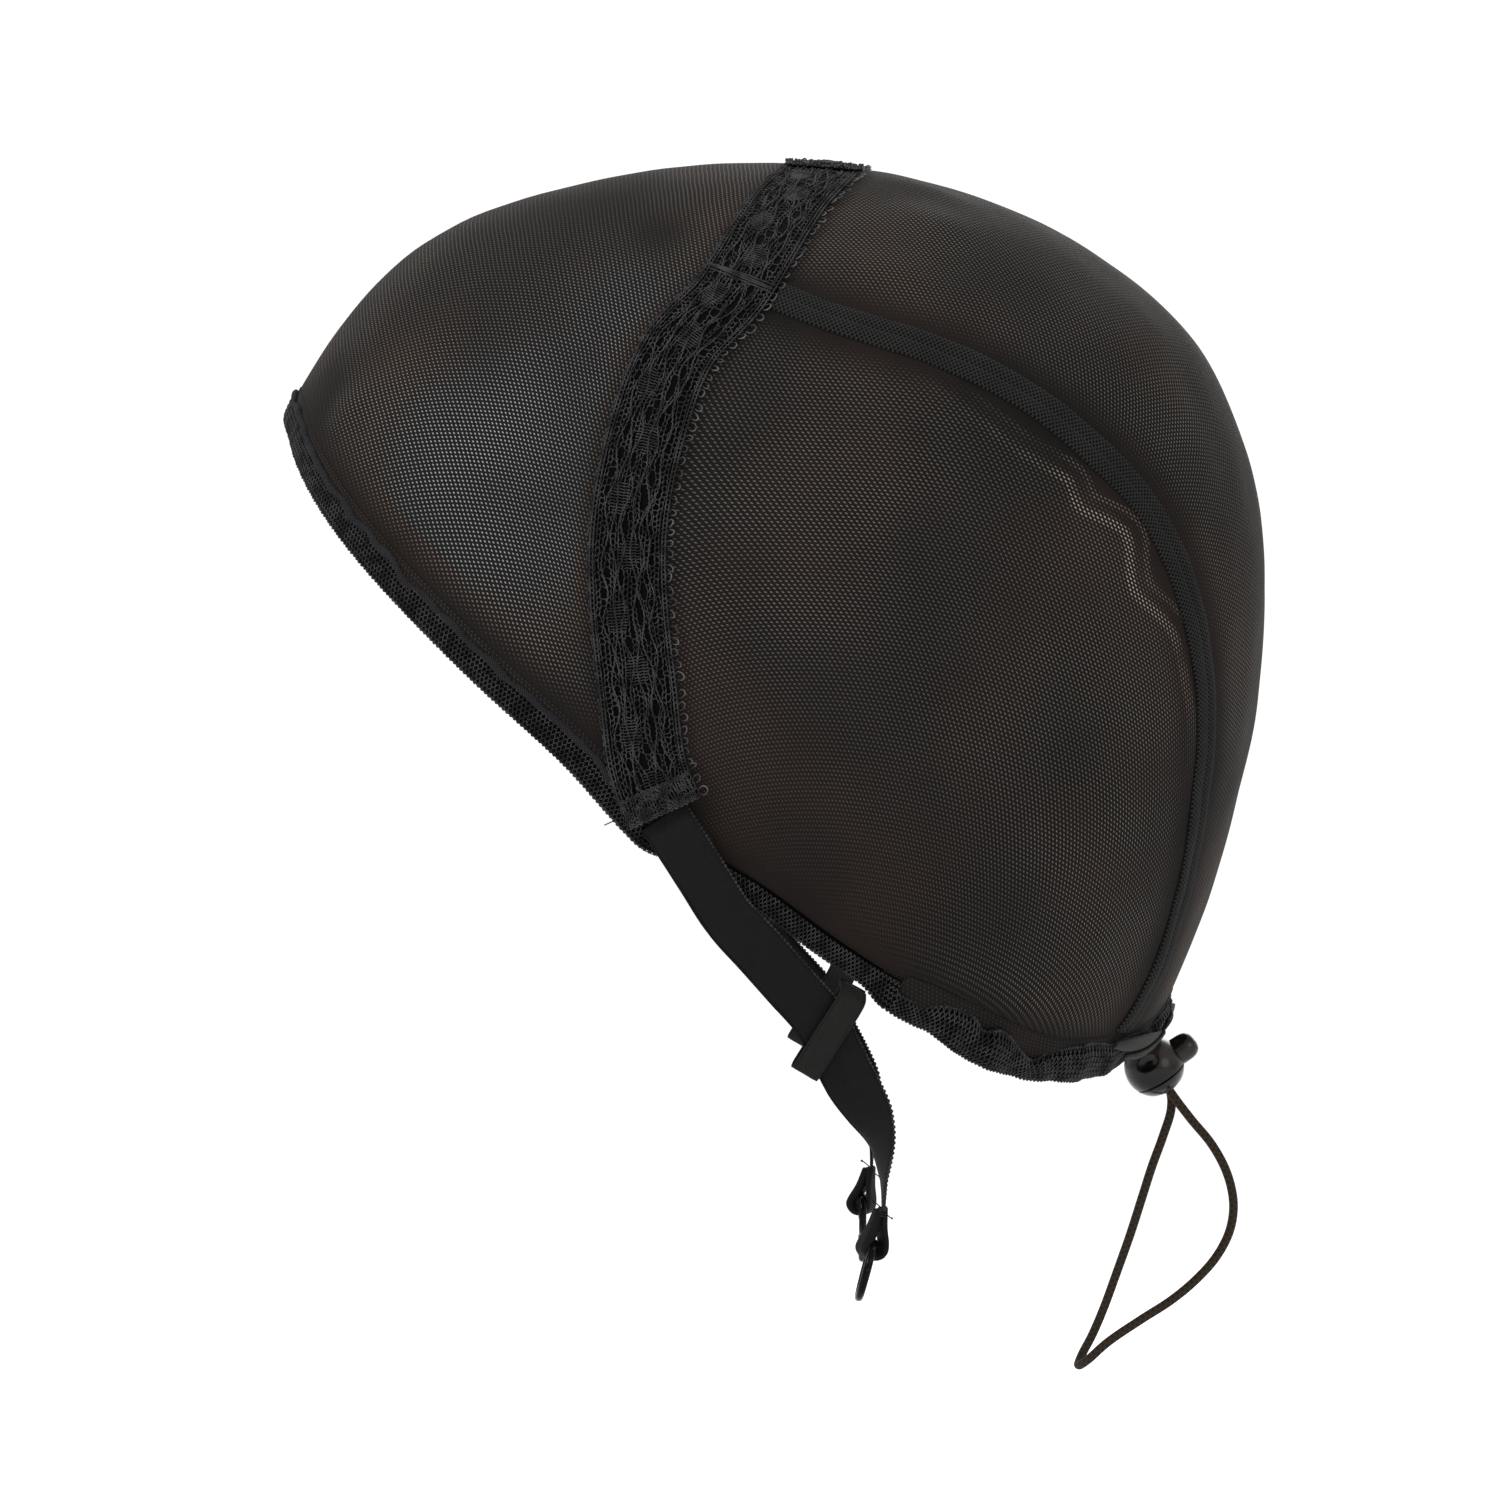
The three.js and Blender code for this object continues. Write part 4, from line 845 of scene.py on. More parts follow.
def flatten(places):
    """Lays a grid of places out flat, with its edges as near their real lengths as they go."""
    rows, columns = places.shape[:2]
    middle = columns // 2
    row_steps = np.linalg.norm(np.diff(places, axis=1), axis=2)
    walked = np.hstack([np.zeros((rows, 1)), np.cumsum(row_steps, 1)])
    x = walked - walked[:, middle:middle + 1]
    rise = np.linalg.norm(np.diff(places[:, middle], axis=0), axis=1)
    y = np.broadcast_to(np.concatenate([[0], np.cumsum(rise)])[:, None], x.shape)
    q = np.stack([x, y], -1).reshape(-1, 2)
    ids = np.arange(rows * columns).reshape(rows, columns)
    pairs = [(ids[:-1], ids[1:]), (ids[:, :-1], ids[:, 1:]), (ids[:-1, :-1], ids[1:, 1:]),
             (ids[:-1, 1:], ids[1:, :-1])]
    a = np.concatenate([p.ravel() for p, _ in pairs])
    b = np.concatenate([p.ravel() for _, p in pairs])
    flat = places.reshape(-1, 3)
    rest = np.linalg.norm(flat[b] - flat[a], axis=1)
    links = np.bincount(np.concatenate([a, b]), minlength=len(q))[:, None]
    for _ in range(FLATTEN_ROUNDS):
        d = q[b] - q[a]
        size = np.linalg.norm(d, axis=1)
        pull = d * ((size - rest) / np.maximum(size, 1e-9) / 2)[:, None]
        move = np.zeros_like(q)
        for axis in (0, 1):
            move[:, axis] = (np.bincount(a, pull[:, axis], len(q)) - np.bincount(b, pull[:, axis], len(q)))
        q = q + move / links * FLATTEN_PULL
    return q.reshape(rows, columns, 2)


def flat_area(q):
    """Area of a flat pattern, in square mm."""
    a, b, c, d = q[:-1, :-1], q[1:, :-1], q[1:, 1:], q[:-1, 1:]
    cross = lambda p, r: p[..., 0] * r[..., 1] - p[..., 1] * r[..., 0]
    return float(np.abs(cross(c - a, d - b) / 2).sum())


def resample(values, rows, columns):
    """Bilinear values of a coarse grid on a finer one."""
    r = np.linspace(0, values.shape[0] - 1, rows)
    c = np.linspace(0, values.shape[1] - 1, columns)
    i = np.minimum(r.astype(int), values.shape[0] - 2)
    j = np.minimum(c.astype(int), values.shape[1] - 2)
    s, t = (r - i)[:, None, None], (c - j)[None, :, None]
    near = lambda di, dj: values[np.ix_(i + di, j + dj)]
    return lerp(lerp(near(0, 0), near(0, 1), t), lerp(near(1, 0), near(1, 1), t), s)


def coons(low, high, start, end, rows, columns):
    """Directions between four edges; low and high run along the rows."""
    t = np.linspace(0, 1, rows + 1)
    s = np.linspace(0, 1, columns + 1)
    lows, highs, starts, ends = low(t), high(t), start(s), end(s)
    sc, tc = s[None, :, None], t[:, None, None]
    corners = (lows[0] * (1 - sc) * (1 - tc) + lows[-1] * (1 - sc) * tc
               + highs[0] * sc * (1 - tc) + highs[-1] * sc * tc)
    return (lows[:, None] * (1 - sc) + highs[:, None] * sc
            + starts[None] * (1 - tc) + ends[None] * tc - corners)


def straight(a, b):
    """A panel's end: the directions between two corners."""
    return lambda s: lerp(a[None], b[None], s[:, None])


def between(low, high):
    """Four edges of a panel from its low and high ones, with straight ends."""
    ends = np.array([0.0, 1.0])
    (low_start, low_end), (high_start, high_end) = low(ends), high(ends)
    return low, high, straight(low_start, high_start), straight(low_end, high_end)


hem_seam = SEAM_SPACE / 2 / hem_line.length
seam_foot = SEAM_FOOT / lace_line.length


def front_edges():
    low = lambda t: hem_edge(lerp(1, -1, t) * (ear_share - hem_seam))
    high = lambda t: lace_line.beside(lerp(seam_foot, 1 - seam_foot, t), SEAM_SPACE / 2)
    return between(low, high)


def side_edges(side):
    flip = np.array([side, 1, 1])

    def high(t):
        beside_lace = lerp(seam_foot, tuck_share, np.minimum(t / SIDE_CORNER, 1))
        beside_tape = np.maximum(t - SIDE_CORNER, 0) / (1 - SIDE_CORNER)
        lace = lace_line.beside(beside_lace, -SEAM_SPACE / 2)
        taped = tape_lines["left"].beside(beside_tape, -SEAM_SPACE / 2)
        return np.where((t <= SIDE_CORNER)[:, None], lace, taped) * flip

    low = lambda t: hem_edge(lerp(ear_share + hem_seam, tape_foot_share - hem_seam, t)) * flip
    return between(low, high)


def back_edges():
    left = lambda t: tape_lines["left"].beside(t, SEAM_SPACE / 2)
    right = lambda t: tape_lines["right"].beside(t, -SEAM_SPACE / 2)
    ends = np.array([0.0, 1.0])

    def crown(s):
        line = lace_line.beside(lerp(tuck_share, 1 - tuck_share, s), -SEAM_SPACE / 2)
        line[0], line[-1] = left(ends)[0], right(ends)[0]
        return line

    def nape(s):
        line = hem_edge(lerp(tape_foot_share, 1 - tape_foot_share, s))
        line[0], line[-1] = left(ends)[1], right(ends)[1]
        return line

    return left, right, crown, nape


# Pale wavy line of painted light in the pores inside the seam tape: along and up in mm, and its strength.
PALE_LINE = [
    (12, -42, 0), (21, -48.4, 0.05), (28.6, -54.1, 0.12), (35.9, -59.6, 0.22), (42, -63, 0.42),
    (45.5, -65.5, 0.55), (46.6, -69.7, 0.6), (52.2, -72.2, 0.7), (56.2, -74.9, 0.7),
    (56.8, -81.1, 0.65), (57.6, -85.6, 0.6), (62.5, -90.1, 0.55), (65.7, -94, 0.45),
    (68.4, -104.3, 0.3), (69.5, -112, 0.12), (69, -124, 0),
]
tape_places = {side: line.point(np.linspace(0, 1, TAPE_SAMPLES)) for side, line in tape_lines.items()}
seam_places = np.vstack([hem_places, lace_line.point(np.linspace(0, 1, 200)), *tape_places.values()])
# Where the pores show the most painted light: along, up, radius in mm, and how much light.
PORE_LIGHT_SPOTS = [
    (-0.52, 0.34, 24, 0.36), (-0.68, 0.18, 14, 0.08), (-0.42, 0.05, 20, 0.1),
    (-0.28, 0.66, 10, 0.2), (-0.6, 0.62, 16, -0.1), (0.35, 0.86, 12, 0.1), (0.78, 0.28, 16, 0.1),
    (0.01, -0.62, 28, -0.24), (-0.89, 0.46, 9, -0.3), (-0.22, 0.8, 7, -0.25), (-0.35, 0.9, 16, -0.2),
    (0.3, -0.8, 18, -0.12), (-0.2, -0.25, 14, -0.1), (0.22, 0.93, 9, -0.16),
]


def pore_light_at(p):
    """How much painted light shows in the net's pores, the same on both sides of the cap."""
    mirrored_place = np.abs(p) * [1, 0, 0] + p * [0, 1, 1]
    total = np.full(p.shape[:-1], PORE_LIGHT_BASE)
    for along, up, radius, strength in PORE_LIGHT_SPOTS:
        spot = skin_base(row_direction((FREE, along, up)))
        total += strength * np.exp(-(np.linalg.norm(mirrored_place - spot, axis=-1) / radius) ** 2)
    return np.clip(total, 0.04, 1)


def level_rows(places, flat, side):
    """Turns a flat pattern so that u runs to the back and v up, seen from one side."""
    seen = places[..., 0] * side > 15
    spots = np.column_stack([places[seen][:, 1:], np.ones(seen.sum())])
    slopes = np.linalg.lstsq(spots, flat[seen], rcond=None)[0]
    back = slopes[0] / np.linalg.norm(slopes[0])
    up = np.array([-back[1], back[0]])
    if up @ slopes[1] < 0:
        up = -up
    tilt = math.radians(ROW_TILT)
    level = back * math.cos(tilt) - up * math.sin(tilt)
    rise = up * math.cos(tilt) + back * math.sin(tilt)
    return flat @ np.column_stack([level, rise])


def powers(p):
    """Products of powers of y and z, for a smooth fit over a panel seen from the side."""
    y, z = p[..., 1] / 80, (p[..., 2] + 70) / 80
    pairs = [(i, j) for i in range(SMOOTH_POWER + 1) for j in range(SMOOTH_POWER + 1 - i)]
    return np.stack([y ** i * z ** j for i, j in pairs], -1)


def pale_line(base):
    """Signed distance from the pale wavy line beside the seam tape, and how strong it is there."""
    spots = base[..., 1:]
    line = catmull(PALE_LINE, np.linspace(0, len(PALE_LINE) - 1, 300))
    steps = np.linalg.norm(spots[..., None, :] - line[:, :2], axis=-1)
    k = np.clip(steps.argmin(-1), 1, len(line) - 2)
    run = line[k + 1, :2] - line[k - 1, :2]
    to = spots - line[k, :2]
    sign = np.sign(run[..., 0] * to[..., 1] - run[..., 1] * to[..., 0])
    return sign * steps.min(-1), line[k, 2]


def make_net(name, edges, rows, columns, side, node):
    """A stretched net panel: fine undulations, and cloth coordinates from its flat pattern."""
    d = coons(*edges, rows, columns)
    base, _ = skin(d, np.zeros(d.shape[:-1]))
    coarse = coons(*edges, COARSE_ROWS, COARSE_COLUMNS)
    coarse_places, _ = skin(coarse, np.zeros(coarse.shape[:-1]))
    flat = flatten(coarse_places)
    size = np.ptp(flat.reshape(-1, 2), axis=0)
    area = flat_area(flat)
    level = level_rows(coarse_places, flat, side)
    if "side" in node:
        terms = powers(coarse_places).reshape(level[..., 0].size, -1)
        q = powers(base) @ np.linalg.lstsq(terms, level.reshape(-1, 2), rcond=None)[0]
    else:
        q = resample(level, rows + 1, columns + 1)
    u, v = q[..., 0], q[..., 1]
    away = least_distance(base, seam_places)
    ease = smoothstep(away, 2, 14)
    ripple = ease * (0.18 * noise(u / 9, v / 9, 5) + 0.1 * noise(u / 4, v / 5, 8))
    outer, _ = skin(d, NET_WALL - NET_SUNK + ripple)
    inner, _ = skin(d, NET_WALL - NET_SUNK - NET_SHEET + ripple)
    # Painted light in the pores: none within 4 mm of the seams, full beyond 12 mm, scaled by the listed spots
    pore_light = smoothstep(away, 4.0, 12.0) * pore_light_at(base)
    soup = Soup()
    soup.shell(outer, inner, np.stack([u, v, pore_light], -1), NET)
    distance, strength = pale_line(base) if "side" in node else (0 * u, 0 * u)
    near = np.stack([distance, strength, 0 * u], -1).reshape(-1, 3)
    soup.extra["seam"] = np.vstack([near, near])
    return soup.make(name, node), size * MM, area * MM * MM


net_front, front_flat, front_area = make_net("net_front", front_edges(), 150, 50, 1, "front_panel")
net_left, left_flat, left_area = make_net("net_left", side_edges(1), 110, 60, 1, "side_panel_left")
net_right, right_flat, right_area = make_net("net_right", side_edges(-1), 110, 60, -1, "side_panel_right")
net_back, back_flat, back_area = make_net("net_back", back_edges(), 120, 60, 1, "back_panel")


# Lace

# Open holes of one lace repeat: along, across, half length and half width.
LACE_HOLES = [
    (1.2, -3.6, 1.2, 0.65), (1.6, -1.2, 1.0, 0.6), (1.2, 1.4, 1.2, 0.65), (1.7, 3.7, 1.0, 0.6),
    (3.9, -4.4, 1.0, 0.5), (4.2, 4.6, 1.2, 0.6), (6.6, -4.8, 1.2, 0.5), (7.2, 3.9, 1.4, 0.7),
    (9.6, -4.2, 1.2, 0.6), (9.9, -1.9, 1.2, 0.65), (10.2, 0.7, 1.3, 0.7), (10.0, 3.1, 1.1, 0.6),
    (12.4, -3.4, 1.3, 0.7), (12.6, -0.8, 1.1, 0.6), (14.6, -4.6, 1.0, 0.5), (15.2, -2.5, 1.5, 0.75),
    (17.6, -4.4, 1.1, 0.6), (17.9, -2.0, 1.2, 0.65), (20.0, -3.2, 1.1, 0.6), (20.3, 4.6, 1.1, 0.55),
    (13.2, 4.9, 0.9, 0.5), (16.5, 5.0, 0.9, 0.5),
]
# Dense cloth-work patches of one repeat: along, across, half length and half width.
LACE_PATCHES = [(5.4, -0.4, 3.0, 2.2), (15.6, 2.2, 3.2, 2.0)]


def lace_shift(a, w):
    """Wales part round the open holes."""
    shift = np.zeros(np.broadcast(a, w).shape)
    local = np.mod(a, LACE_REPEAT)
    for ah, wh, la, lw in LACE_HOLES:
        da = np.mod(local - ah + LACE_REPEAT / 2, LACE_REPEAT) - LACE_REPEAT / 2
        dw = w - wh
        shift += np.sign(dw + 1e-6) * lw * np.exp(-(da / la) ** 2) * np.exp(-np.abs(dw) / 0.9)
    return shift


def in_patch(a, w):
    """Whether a place lies in one of the dense patches."""
    local = np.mod(a, LACE_REPEAT)
    inside = np.zeros(np.broadcast(a, w).shape, bool)
    for ap, wp, la, lw in LACE_PATCHES:
        inside |= ((local - ap) / la) ** 2 + ((w - wp) / lw) ** 2 < 1
    return inside


def make_lace(name, node, band, start, end, lift_at, fold_end=None, crease=None):
    """Stretch lace: knotty wales that part round holes, ground threads, dense patches and picots."""
    soup = Soup()
    rng = np.random.default_rng(11)
    length = abs(end - start)
    sign = 1 if end > start else -1

    def strand(a, w, lift, radius, material=LACE, sides=3):
        """a counts from the start of this lace, w across it."""
        place = start + sign * np.asarray(a, float)
        soup.lay_strand(band, place, sign * np.asarray(w), lift_at(a) + lift, radius, material, sides)

    walk = np.arange(0.1, length - 0.1, 0.36)
    for k, w in enumerate(LACE_WALES):
        knot = np.sin(turns(walk, LACE_KNOT) + k * 2.1)
        thin = np.where(in_patch(walk, w + 0 * walk), 0.55, 1)
        wobble = 0.1 * np.sin(turns(walk, LACE_KNOT) + k * math.pi) + 0.2 * noise(walk / 4, k * 1.3, 3)
        shifted = w + lace_shift(walk, w) + wobble
        high = 0.4 + 0.12 * knot + 0.14 * noise(walk / 3, k * 0.9, 4)
        strand(walk, shifted, high, LACE_YARN * rng.uniform(0.8, 1.25) * (1 + 0.35 * knot) * thin)
    bar = np.array([0.0, 0.5, 1.0])
    for k, near in enumerate(LACE_WALES[:-1]):
        far = LACE_WALES[k + 1]
        cells = np.arange(0.3, length - 0.7, LACE_KNOT) + (k % 2) * LACE_KNOT / 2
        for a in cells:
            slant = rng.uniform(-0.4, 0.5)
            if in_patch(a, near) or rng.random() < 0.14:
                continue
            across = lerp(near + lace_shift(a, near), far + lace_shift(a, far), bar)
            if across[-1] - across[0] > 1.3:
                continue
            strand(a + slant * bar, across, 0.34 + 0.1 * np.sin(bar * math.pi), LACE_YARN * 0.75)
    for a in np.arange(0.2, length, 0.56):
        local = a % LACE_REPEAT
        for ap, wp, la, lw in LACE_PATCHES:
            reach = 1 - ((local - ap) / la) ** 2
            if reach <= 0.02:
                continue
            half = lw * math.sqrt(reach)
            cross = np.linspace(-half, half, 9)
            high = 0.56 + 0.07 * np.cos(cross * 10)
            strand(a + 0.07 * np.sin(cross * 5), wp + cross, high, LACE_YARN * 0.95)
    fine = np.arange(0.1, length - 0.1, 0.4)
    for k, centre in enumerate((-4.3, -2.6, -0.9, 0.9, 2.7, 4.4)):
        w = centre + 0.5 * np.sin(2 * turns(fine, LACE_REPEAT) + k * 2.4)
        w = w + 0.45 * noise(fine / 3.2, k * 2.0, 12)
        strand(fine, w + 0.14 * np.sin(fine * 6.5), 0.6 + 0.1 * noise(fine / 2, k, 13), LACE_YARN * 1.15)
    for edge in (-1, 1):
        for place, thick in ((6.55, 1.2), (7.2, 1.3)):
            w = edge * (place + 0.12 * np.sin(turns(fine, 0.9) + place * 4))
            strand(fine, w, 0.5 + 0.1 * np.sin(fine * 7 + place), LACE_YARN * thick)
        for a in np.arange(0.5, length - 0.5, 0.95):
            strand(a + 0.2 * bar, edge * lerp(6.5, 7.25, bar), 0.5 + 0 * bar, LACE_YARN * 0.9)
        # Picots: big curls along the rear edge, small ragged loops along the front one
        front = edge * sign > 0
        pitch = PICOT_PITCH * (0.5 if front else 1)
        for a in np.arange(1.0, length - 1.2, pitch):
            tall = rng.uniform(0.35, 0.7) if front else rng.uniform(0.9, 1.85)
            wide = rng.uniform(0.3, 0.45) if front else rng.uniform(0.55, 0.85)
            turn = np.linspace(-0.35 * math.pi, rng.uniform(1.1, 1.45) * math.pi, 11)
            tilt = rng.uniform(-0.35, 0.35)
            place = a + rng.uniform(-0.55, 0.55)
            w = edge * (7.2 + tall * (0.5 + 0.5 * np.sin(turn)))
            tip = 1 + 0.5 * np.sin(turn)
            strand(place + wide * np.cos(turn) + tilt * np.sin(turn), w, 0.3 + 0.25 * np.sin(turn),
                   LACE_YARN * 0.72 * tip, LACE if front else PICOT)
    if crease:
        # A tuck across the lace: a ridge of cross threads
        across = np.linspace(-6.8, 6.8, 50)
        for k in range(5):
            sway = 0.25 * noise(across / 3, k, 9)
            strand(crease + 0.34 * (k - 2) + sway, across, 1.0 - 0.12 * (k - 2) ** 2, LACE_YARN * 1.2)
    if fold_end:
        # The cut end is turned under: a second layer of wales, fuzzy with short curls
        for w in np.arange(-6.6, 6.7, 0.6):
            a = np.linspace(0.1, fold_end, 9)
            strand(a, w + 0.2 * noise(a, w, 6), 0.95 + 0.2 * noise(a * 2, w, 7), LACE_YARN * 1.1)
        across = np.linspace(-7.2, 7.2, 60)
        for a in (0.15, 0.6, 1.5, fold_end - 0.2, fold_end + 0.2):
            high = 1.05 + 0.1 * np.sin(across * 4)
            strand(a + 0.18 * np.sin(across * 6), across, high, LACE_YARN * 1.3)
        curl = np.linspace(0, 1.5 * math.pi, 7)
        for _ in range(150):
            size = rng.uniform(0.25, 0.55)
            a = rng.uniform(0.2, fold_end) + size * np.cos(curl)
            w = rng.uniform(-6.8, 6.8) + size * np.sin(curl + rng.uniform(0, 6))
            strand(a, w, 1.0 + 0.4 * np.sin(curl), LACE_YARN * 0.7)
    # The lace's ground under its strands, near-black: painted shade seen through the holes
    a = np.linspace(0.1, length - 0.1, int(length / 1.5))
    w = np.linspace(-7.1, 7.1, 13)
    grid_a, grid_w = np.meshgrid(a, w, indexing="ij")
    outer, inner = (band.place(start + sign * grid_a, sign * grid_w, lift_at(grid_a) + high)[0]
                    for high in (0.24, 0.06))
    soup.shell(outer, inner, np.stack([grid_a, grid_w, grid_a * 0], -1), LACE_BACK_SHADE)
    return soup.make(name, node)


crown_half = CROWN_LACE_LENGTH / 2
side_top = lace_line.length / 2 - crown_half + LACE_OVERLAP
lace_band = Band(lace_line, LACE_WIDTH / 2 + 2)
lift_places = np.linspace(0, side_top, 120)
lift_table = clear_lift(lace_line.point(lift_places / lace_line.length))
lift_table += LACE_END_RISE * smoothstep(lift_places, LACE_FOLD + 3, 1.5)
side_lift = lambda a: np.interp(a, lift_places, lift_table)
crease = tuck_share * lace_line.length + 0.5
make_lace("lace_left", "lace_band_left", lace_band, 0.0, side_top, side_lift, LACE_FOLD, crease)
make_lace("lace_right", "lace_band_right", lace_band, lace_line.length,
          lace_line.length - side_top, side_lift, LACE_FOLD, crease)


def crown_path():
    """Line of the crown length of lace: nearly straight across the top of the seam."""
    apex = lace_line.point(0.5)
    ends = lace_line.point(0.5 - crown_half / lace_line.length)
    level = lerp(ends[1], apex[1], CROWN_LACE_STRAIGHT)
    rows = []
    for side in (1, 0.5, 0, -0.5, -1):
        point = lace_line.point(0.5 - side * crown_half / lace_line.length)
        point[1] = lerp(apex[1], level, abs(side))
        rows.append(direction_of(point))
    return Line(rows)


crown_line = crown_path()
STACKED = NET_WALL + GAP + LACE_WALL + GAP


def crown_lift(a):
    """The crown length climbs over the ends of the side lengths."""
    to_end = np.minimum(a, crown_line.length - a)
    level = smoothstep(to_end, LACE_OVERLAP + 2, LACE_OVERLAP + 6)
    return lerp(STACKED, NET_WALL + GAP, level) - CROWN_LACE_SUNK


crown_band = Band(crown_line, LACE_WIDTH / 2 + 2)
make_lace("lace_top", "lace_crown", crown_band, 0.0, crown_line.length, crown_lift)


# Seam tapes

def make_tape(name, node, line):
    """A doubled strip with a groove along its middle and slightly uneven edges."""
    band = Band(line, TAPE_WIDTH)
    soup = Soup()
    start = LACE_WIDTH / 2 + 0.4
    a = np.arange(start, line.length - 0.5, 0.6)
    share = np.linspace(-1, 1, 21)
    grid_a, grid_s = np.meshgrid(a, share, indexing="ij")
    wander = 0.25 * noise(grid_a / 11, grid_s * 0, 21) + 0.12 * noise(grid_a / 4, grid_s, 22)
    wander += grid_s * 0.06 * np.sin(turns(grid_a, 1.4))
    w = grid_s * (TAPE_WIDTH / 2 + TAPE_SPREAD) + wander
    hump = np.abs(np.sin(math.pi * (grid_s + 1))) ** 0.6 + 0.6 * (1 - grid_s ** 4)
    lift = NET_WALL + 0.12 + 0.26 * hump + 0.2 * noise(grid_a / 5, grid_s * 2, 23)
    soup.lay_sheet(band, grid_a, w, lift, NET_WALL + 0.02, TAPE, cloth_w=w - wander)
    return soup.make(name, node)


make_tape("tape_left", "seam_tape_left", tape_lines["left"])
make_tape("tape_right", "seam_tape_right", tape_lines["right"])


# Hem: honeycomb mesh over a core, a scalloped outer edge and a rolled inner edge

# Loose thread near the wearer's left ear: mm before the end of the front hem, and how far it runs
THREAD_PLACE = (-5.7, -0.8)
hem_band = Band(hem_line, CASING_HEIGHT / 2 + 3)


def make_hem(name, node, start, end, rolled):
    """start and end in mm along the hem line; across is up, towards the cap."""
    soup = Soup()
    cell = lambda a: turns(a, HONEYCOMB)
    a = np.arange(start, end + 0.4, 0.8)
    a[-1] = end
    share = np.linspace(-1, 1, 13)
    grid_a, grid_s = np.meshgrid(a, share, indexing="ij")
    half = HEM_WIDTH / 2
    top = 1.75 if rolled else half - 0.4
    trim = lambda x: 0 if rolled else HEM_TRIM * smoothstep(np.minimum(x - start, end - x), 0, 8)
    profile = lambda s: 0.55 + 0.85 * np.sqrt(np.clip(1 - s ** 4, 0, 1))
    w = lerp(-half + 0.08 + trim(grid_a), half - 0.3, (grid_s + 1) / 2)
    # The core under the honeycomb: the hem's inner layer, its near-black colour painted shade
    soup.lay_sheet(hem_band, grid_a, w, profile(grid_s) - 0.12, 0.1, HEM_CORE_SHADE)
    walk = np.arange(start, end, HONEYCOMB / 6)
    for k, lane in enumerate(np.linspace(0, 1, HEM_LANES)):
        swing = 0.35 * np.sin(cell(walk) + k * math.pi)
        low = -half + 0.3 + trim(walk)
        lane_w = lerp(low, top, lane) + swing + 0.1 * noise(walk / 5, k, 33)
        lift = profile(lane_w / half) + 0.16 + 0.06 * np.cos(2 * cell(walk))
        soup.lay_strand(hem_band, walk, lane_w, lift, HEM_STRAND, HEM_YARN, 3)
    scallop = np.sin(cell(walk))
    edge_w = -half + 0.15 + trim(walk) - 0.16 * scallop
    soup.lay_strand(hem_band, walk, edge_w, 0.75 + 0.1 * np.cos(walk * 5), 0.3 + 0.1 * scallop, HEM_YARN)
    if rolled:
        # The rolled inner edge: a smooth crumpled cord that wanders up and down
        roll_a = np.arange(start, end + 0.2, 0.4)
        roll_a[-1] = end
        centre_w = half - 0.8 + 0.22 * np.sin(turns(roll_a, 9) + noise(roll_a / 15, 0, 34) * 2)
        centre_w += 0.4 * noise(roll_a / 3.4, 0, 35)
        centre_lift = 1.3 + 0.25 * noise(roll_a / 5, 0, 36)
        radius = 0.72 + 0.2 * noise(roll_a / 1.6, 0, 37) + 0.1 * np.sin(turns(roll_a, 1.3))
        soup.lay_strand(hem_band, roll_a, centre_w, centre_lift, radius, ROLL, sides=12, flat=0.7)
        # The net runs on under the roll
        flap_w = lerp(half - 1.2, half + EDGE_SPACE + 0.5, (grid_s + 1) / 2)
        # The flap's pores get a little painted light
        soup.lay_sheet(hem_band, grid_a, flap_w, NET_WALL + 0.02, NET_WALL - 0.25, NET, 0.06)
    if name == "hem_front":
        # A loose thread near the wearer's left ear
        s = np.linspace(0, 1, 9)
        thread_a = THREAD_PLACE[0] + end + s * THREAD_PLACE[1]
        soup.lay_strand(hem_band, thread_a, -half + 0.8 - 2.6 * s, 0.9 + 0.6 * s, 0.15, THREAD)
    return soup.make(name, node)


hem_length = hem_line.length
ear, casing = ear_share * hem_length, casing_share * hem_length
hem_front = make_hem("hem_front", "front_hem", -ear, ear, True)
hem_left = make_hem("hem_left", "side_hem_left", ear, casing, False)
hem_right = make_hem("hem_right", "side_hem_right", hem_length - casing, hem_length - ear, False)


# Gathered casing round the nape

# Its outline from the front end to the middle of the nape: along, lower and upper edge, in mm
CASING_OUTLINE = np.array([
    (0, -3.0, 0.9), (6.5, -3.2, 1.0), (10.5, -3.4, 3.0), (13.5, -3.9, 3.7), (17, -4.5, 3.2),
    (20, -5.0, 1.8), (23, -5.2, 3.3), (26.5, -5.0, 2.8), (31, -4.8, 0.9), (35, -4.8, -0.2),
    (38, -4.8, 2.0), (43.5, -4.9, 3.8), (49.5, -5.4, 4.3), (57, -5.8, 3.4), (66, -5.2, 4.1),
    (72, -4.5, 3.2), (78, -4.9, 4.2), (87.7, -4.6, 3.8),
])
casing_rows = catmull(CASING_OUTLINE, np.linspace(0, len(CASING_OUTLINE) - 1, 400))


def from_end(a):
    """Length along the casing from its nearer end."""
    return np.minimum(a - casing, hem_length - casing - a)


def casing_across(a, s):
    """Across in mm; s is -1 at the lower edge and 1 at the upper edge of the gathers."""
    low = np.interp(from_end(a), casing_rows[:, 0], casing_rows[:, 1])
    high = np.interp(from_end(a), casing_rows[:, 0], casing_rows[:, 2])
    return lerp(low, high, (s + 1) / 2)


def gather_wave(a):
    """Deep uneven gathers: one for each pitch, with smaller ones between."""
    phase = 2 * math.pi * (a - casing) / GATHER_PITCH
    drift = 0.9 * noise(a / 23, a * 0, 41)
    small = 0.35 * np.sin(2.3 * phase + 1.3) + 0.25 * noise(a / 2.6, a * 0, 42)
    return 0.75 * np.sin(phase + drift) + small


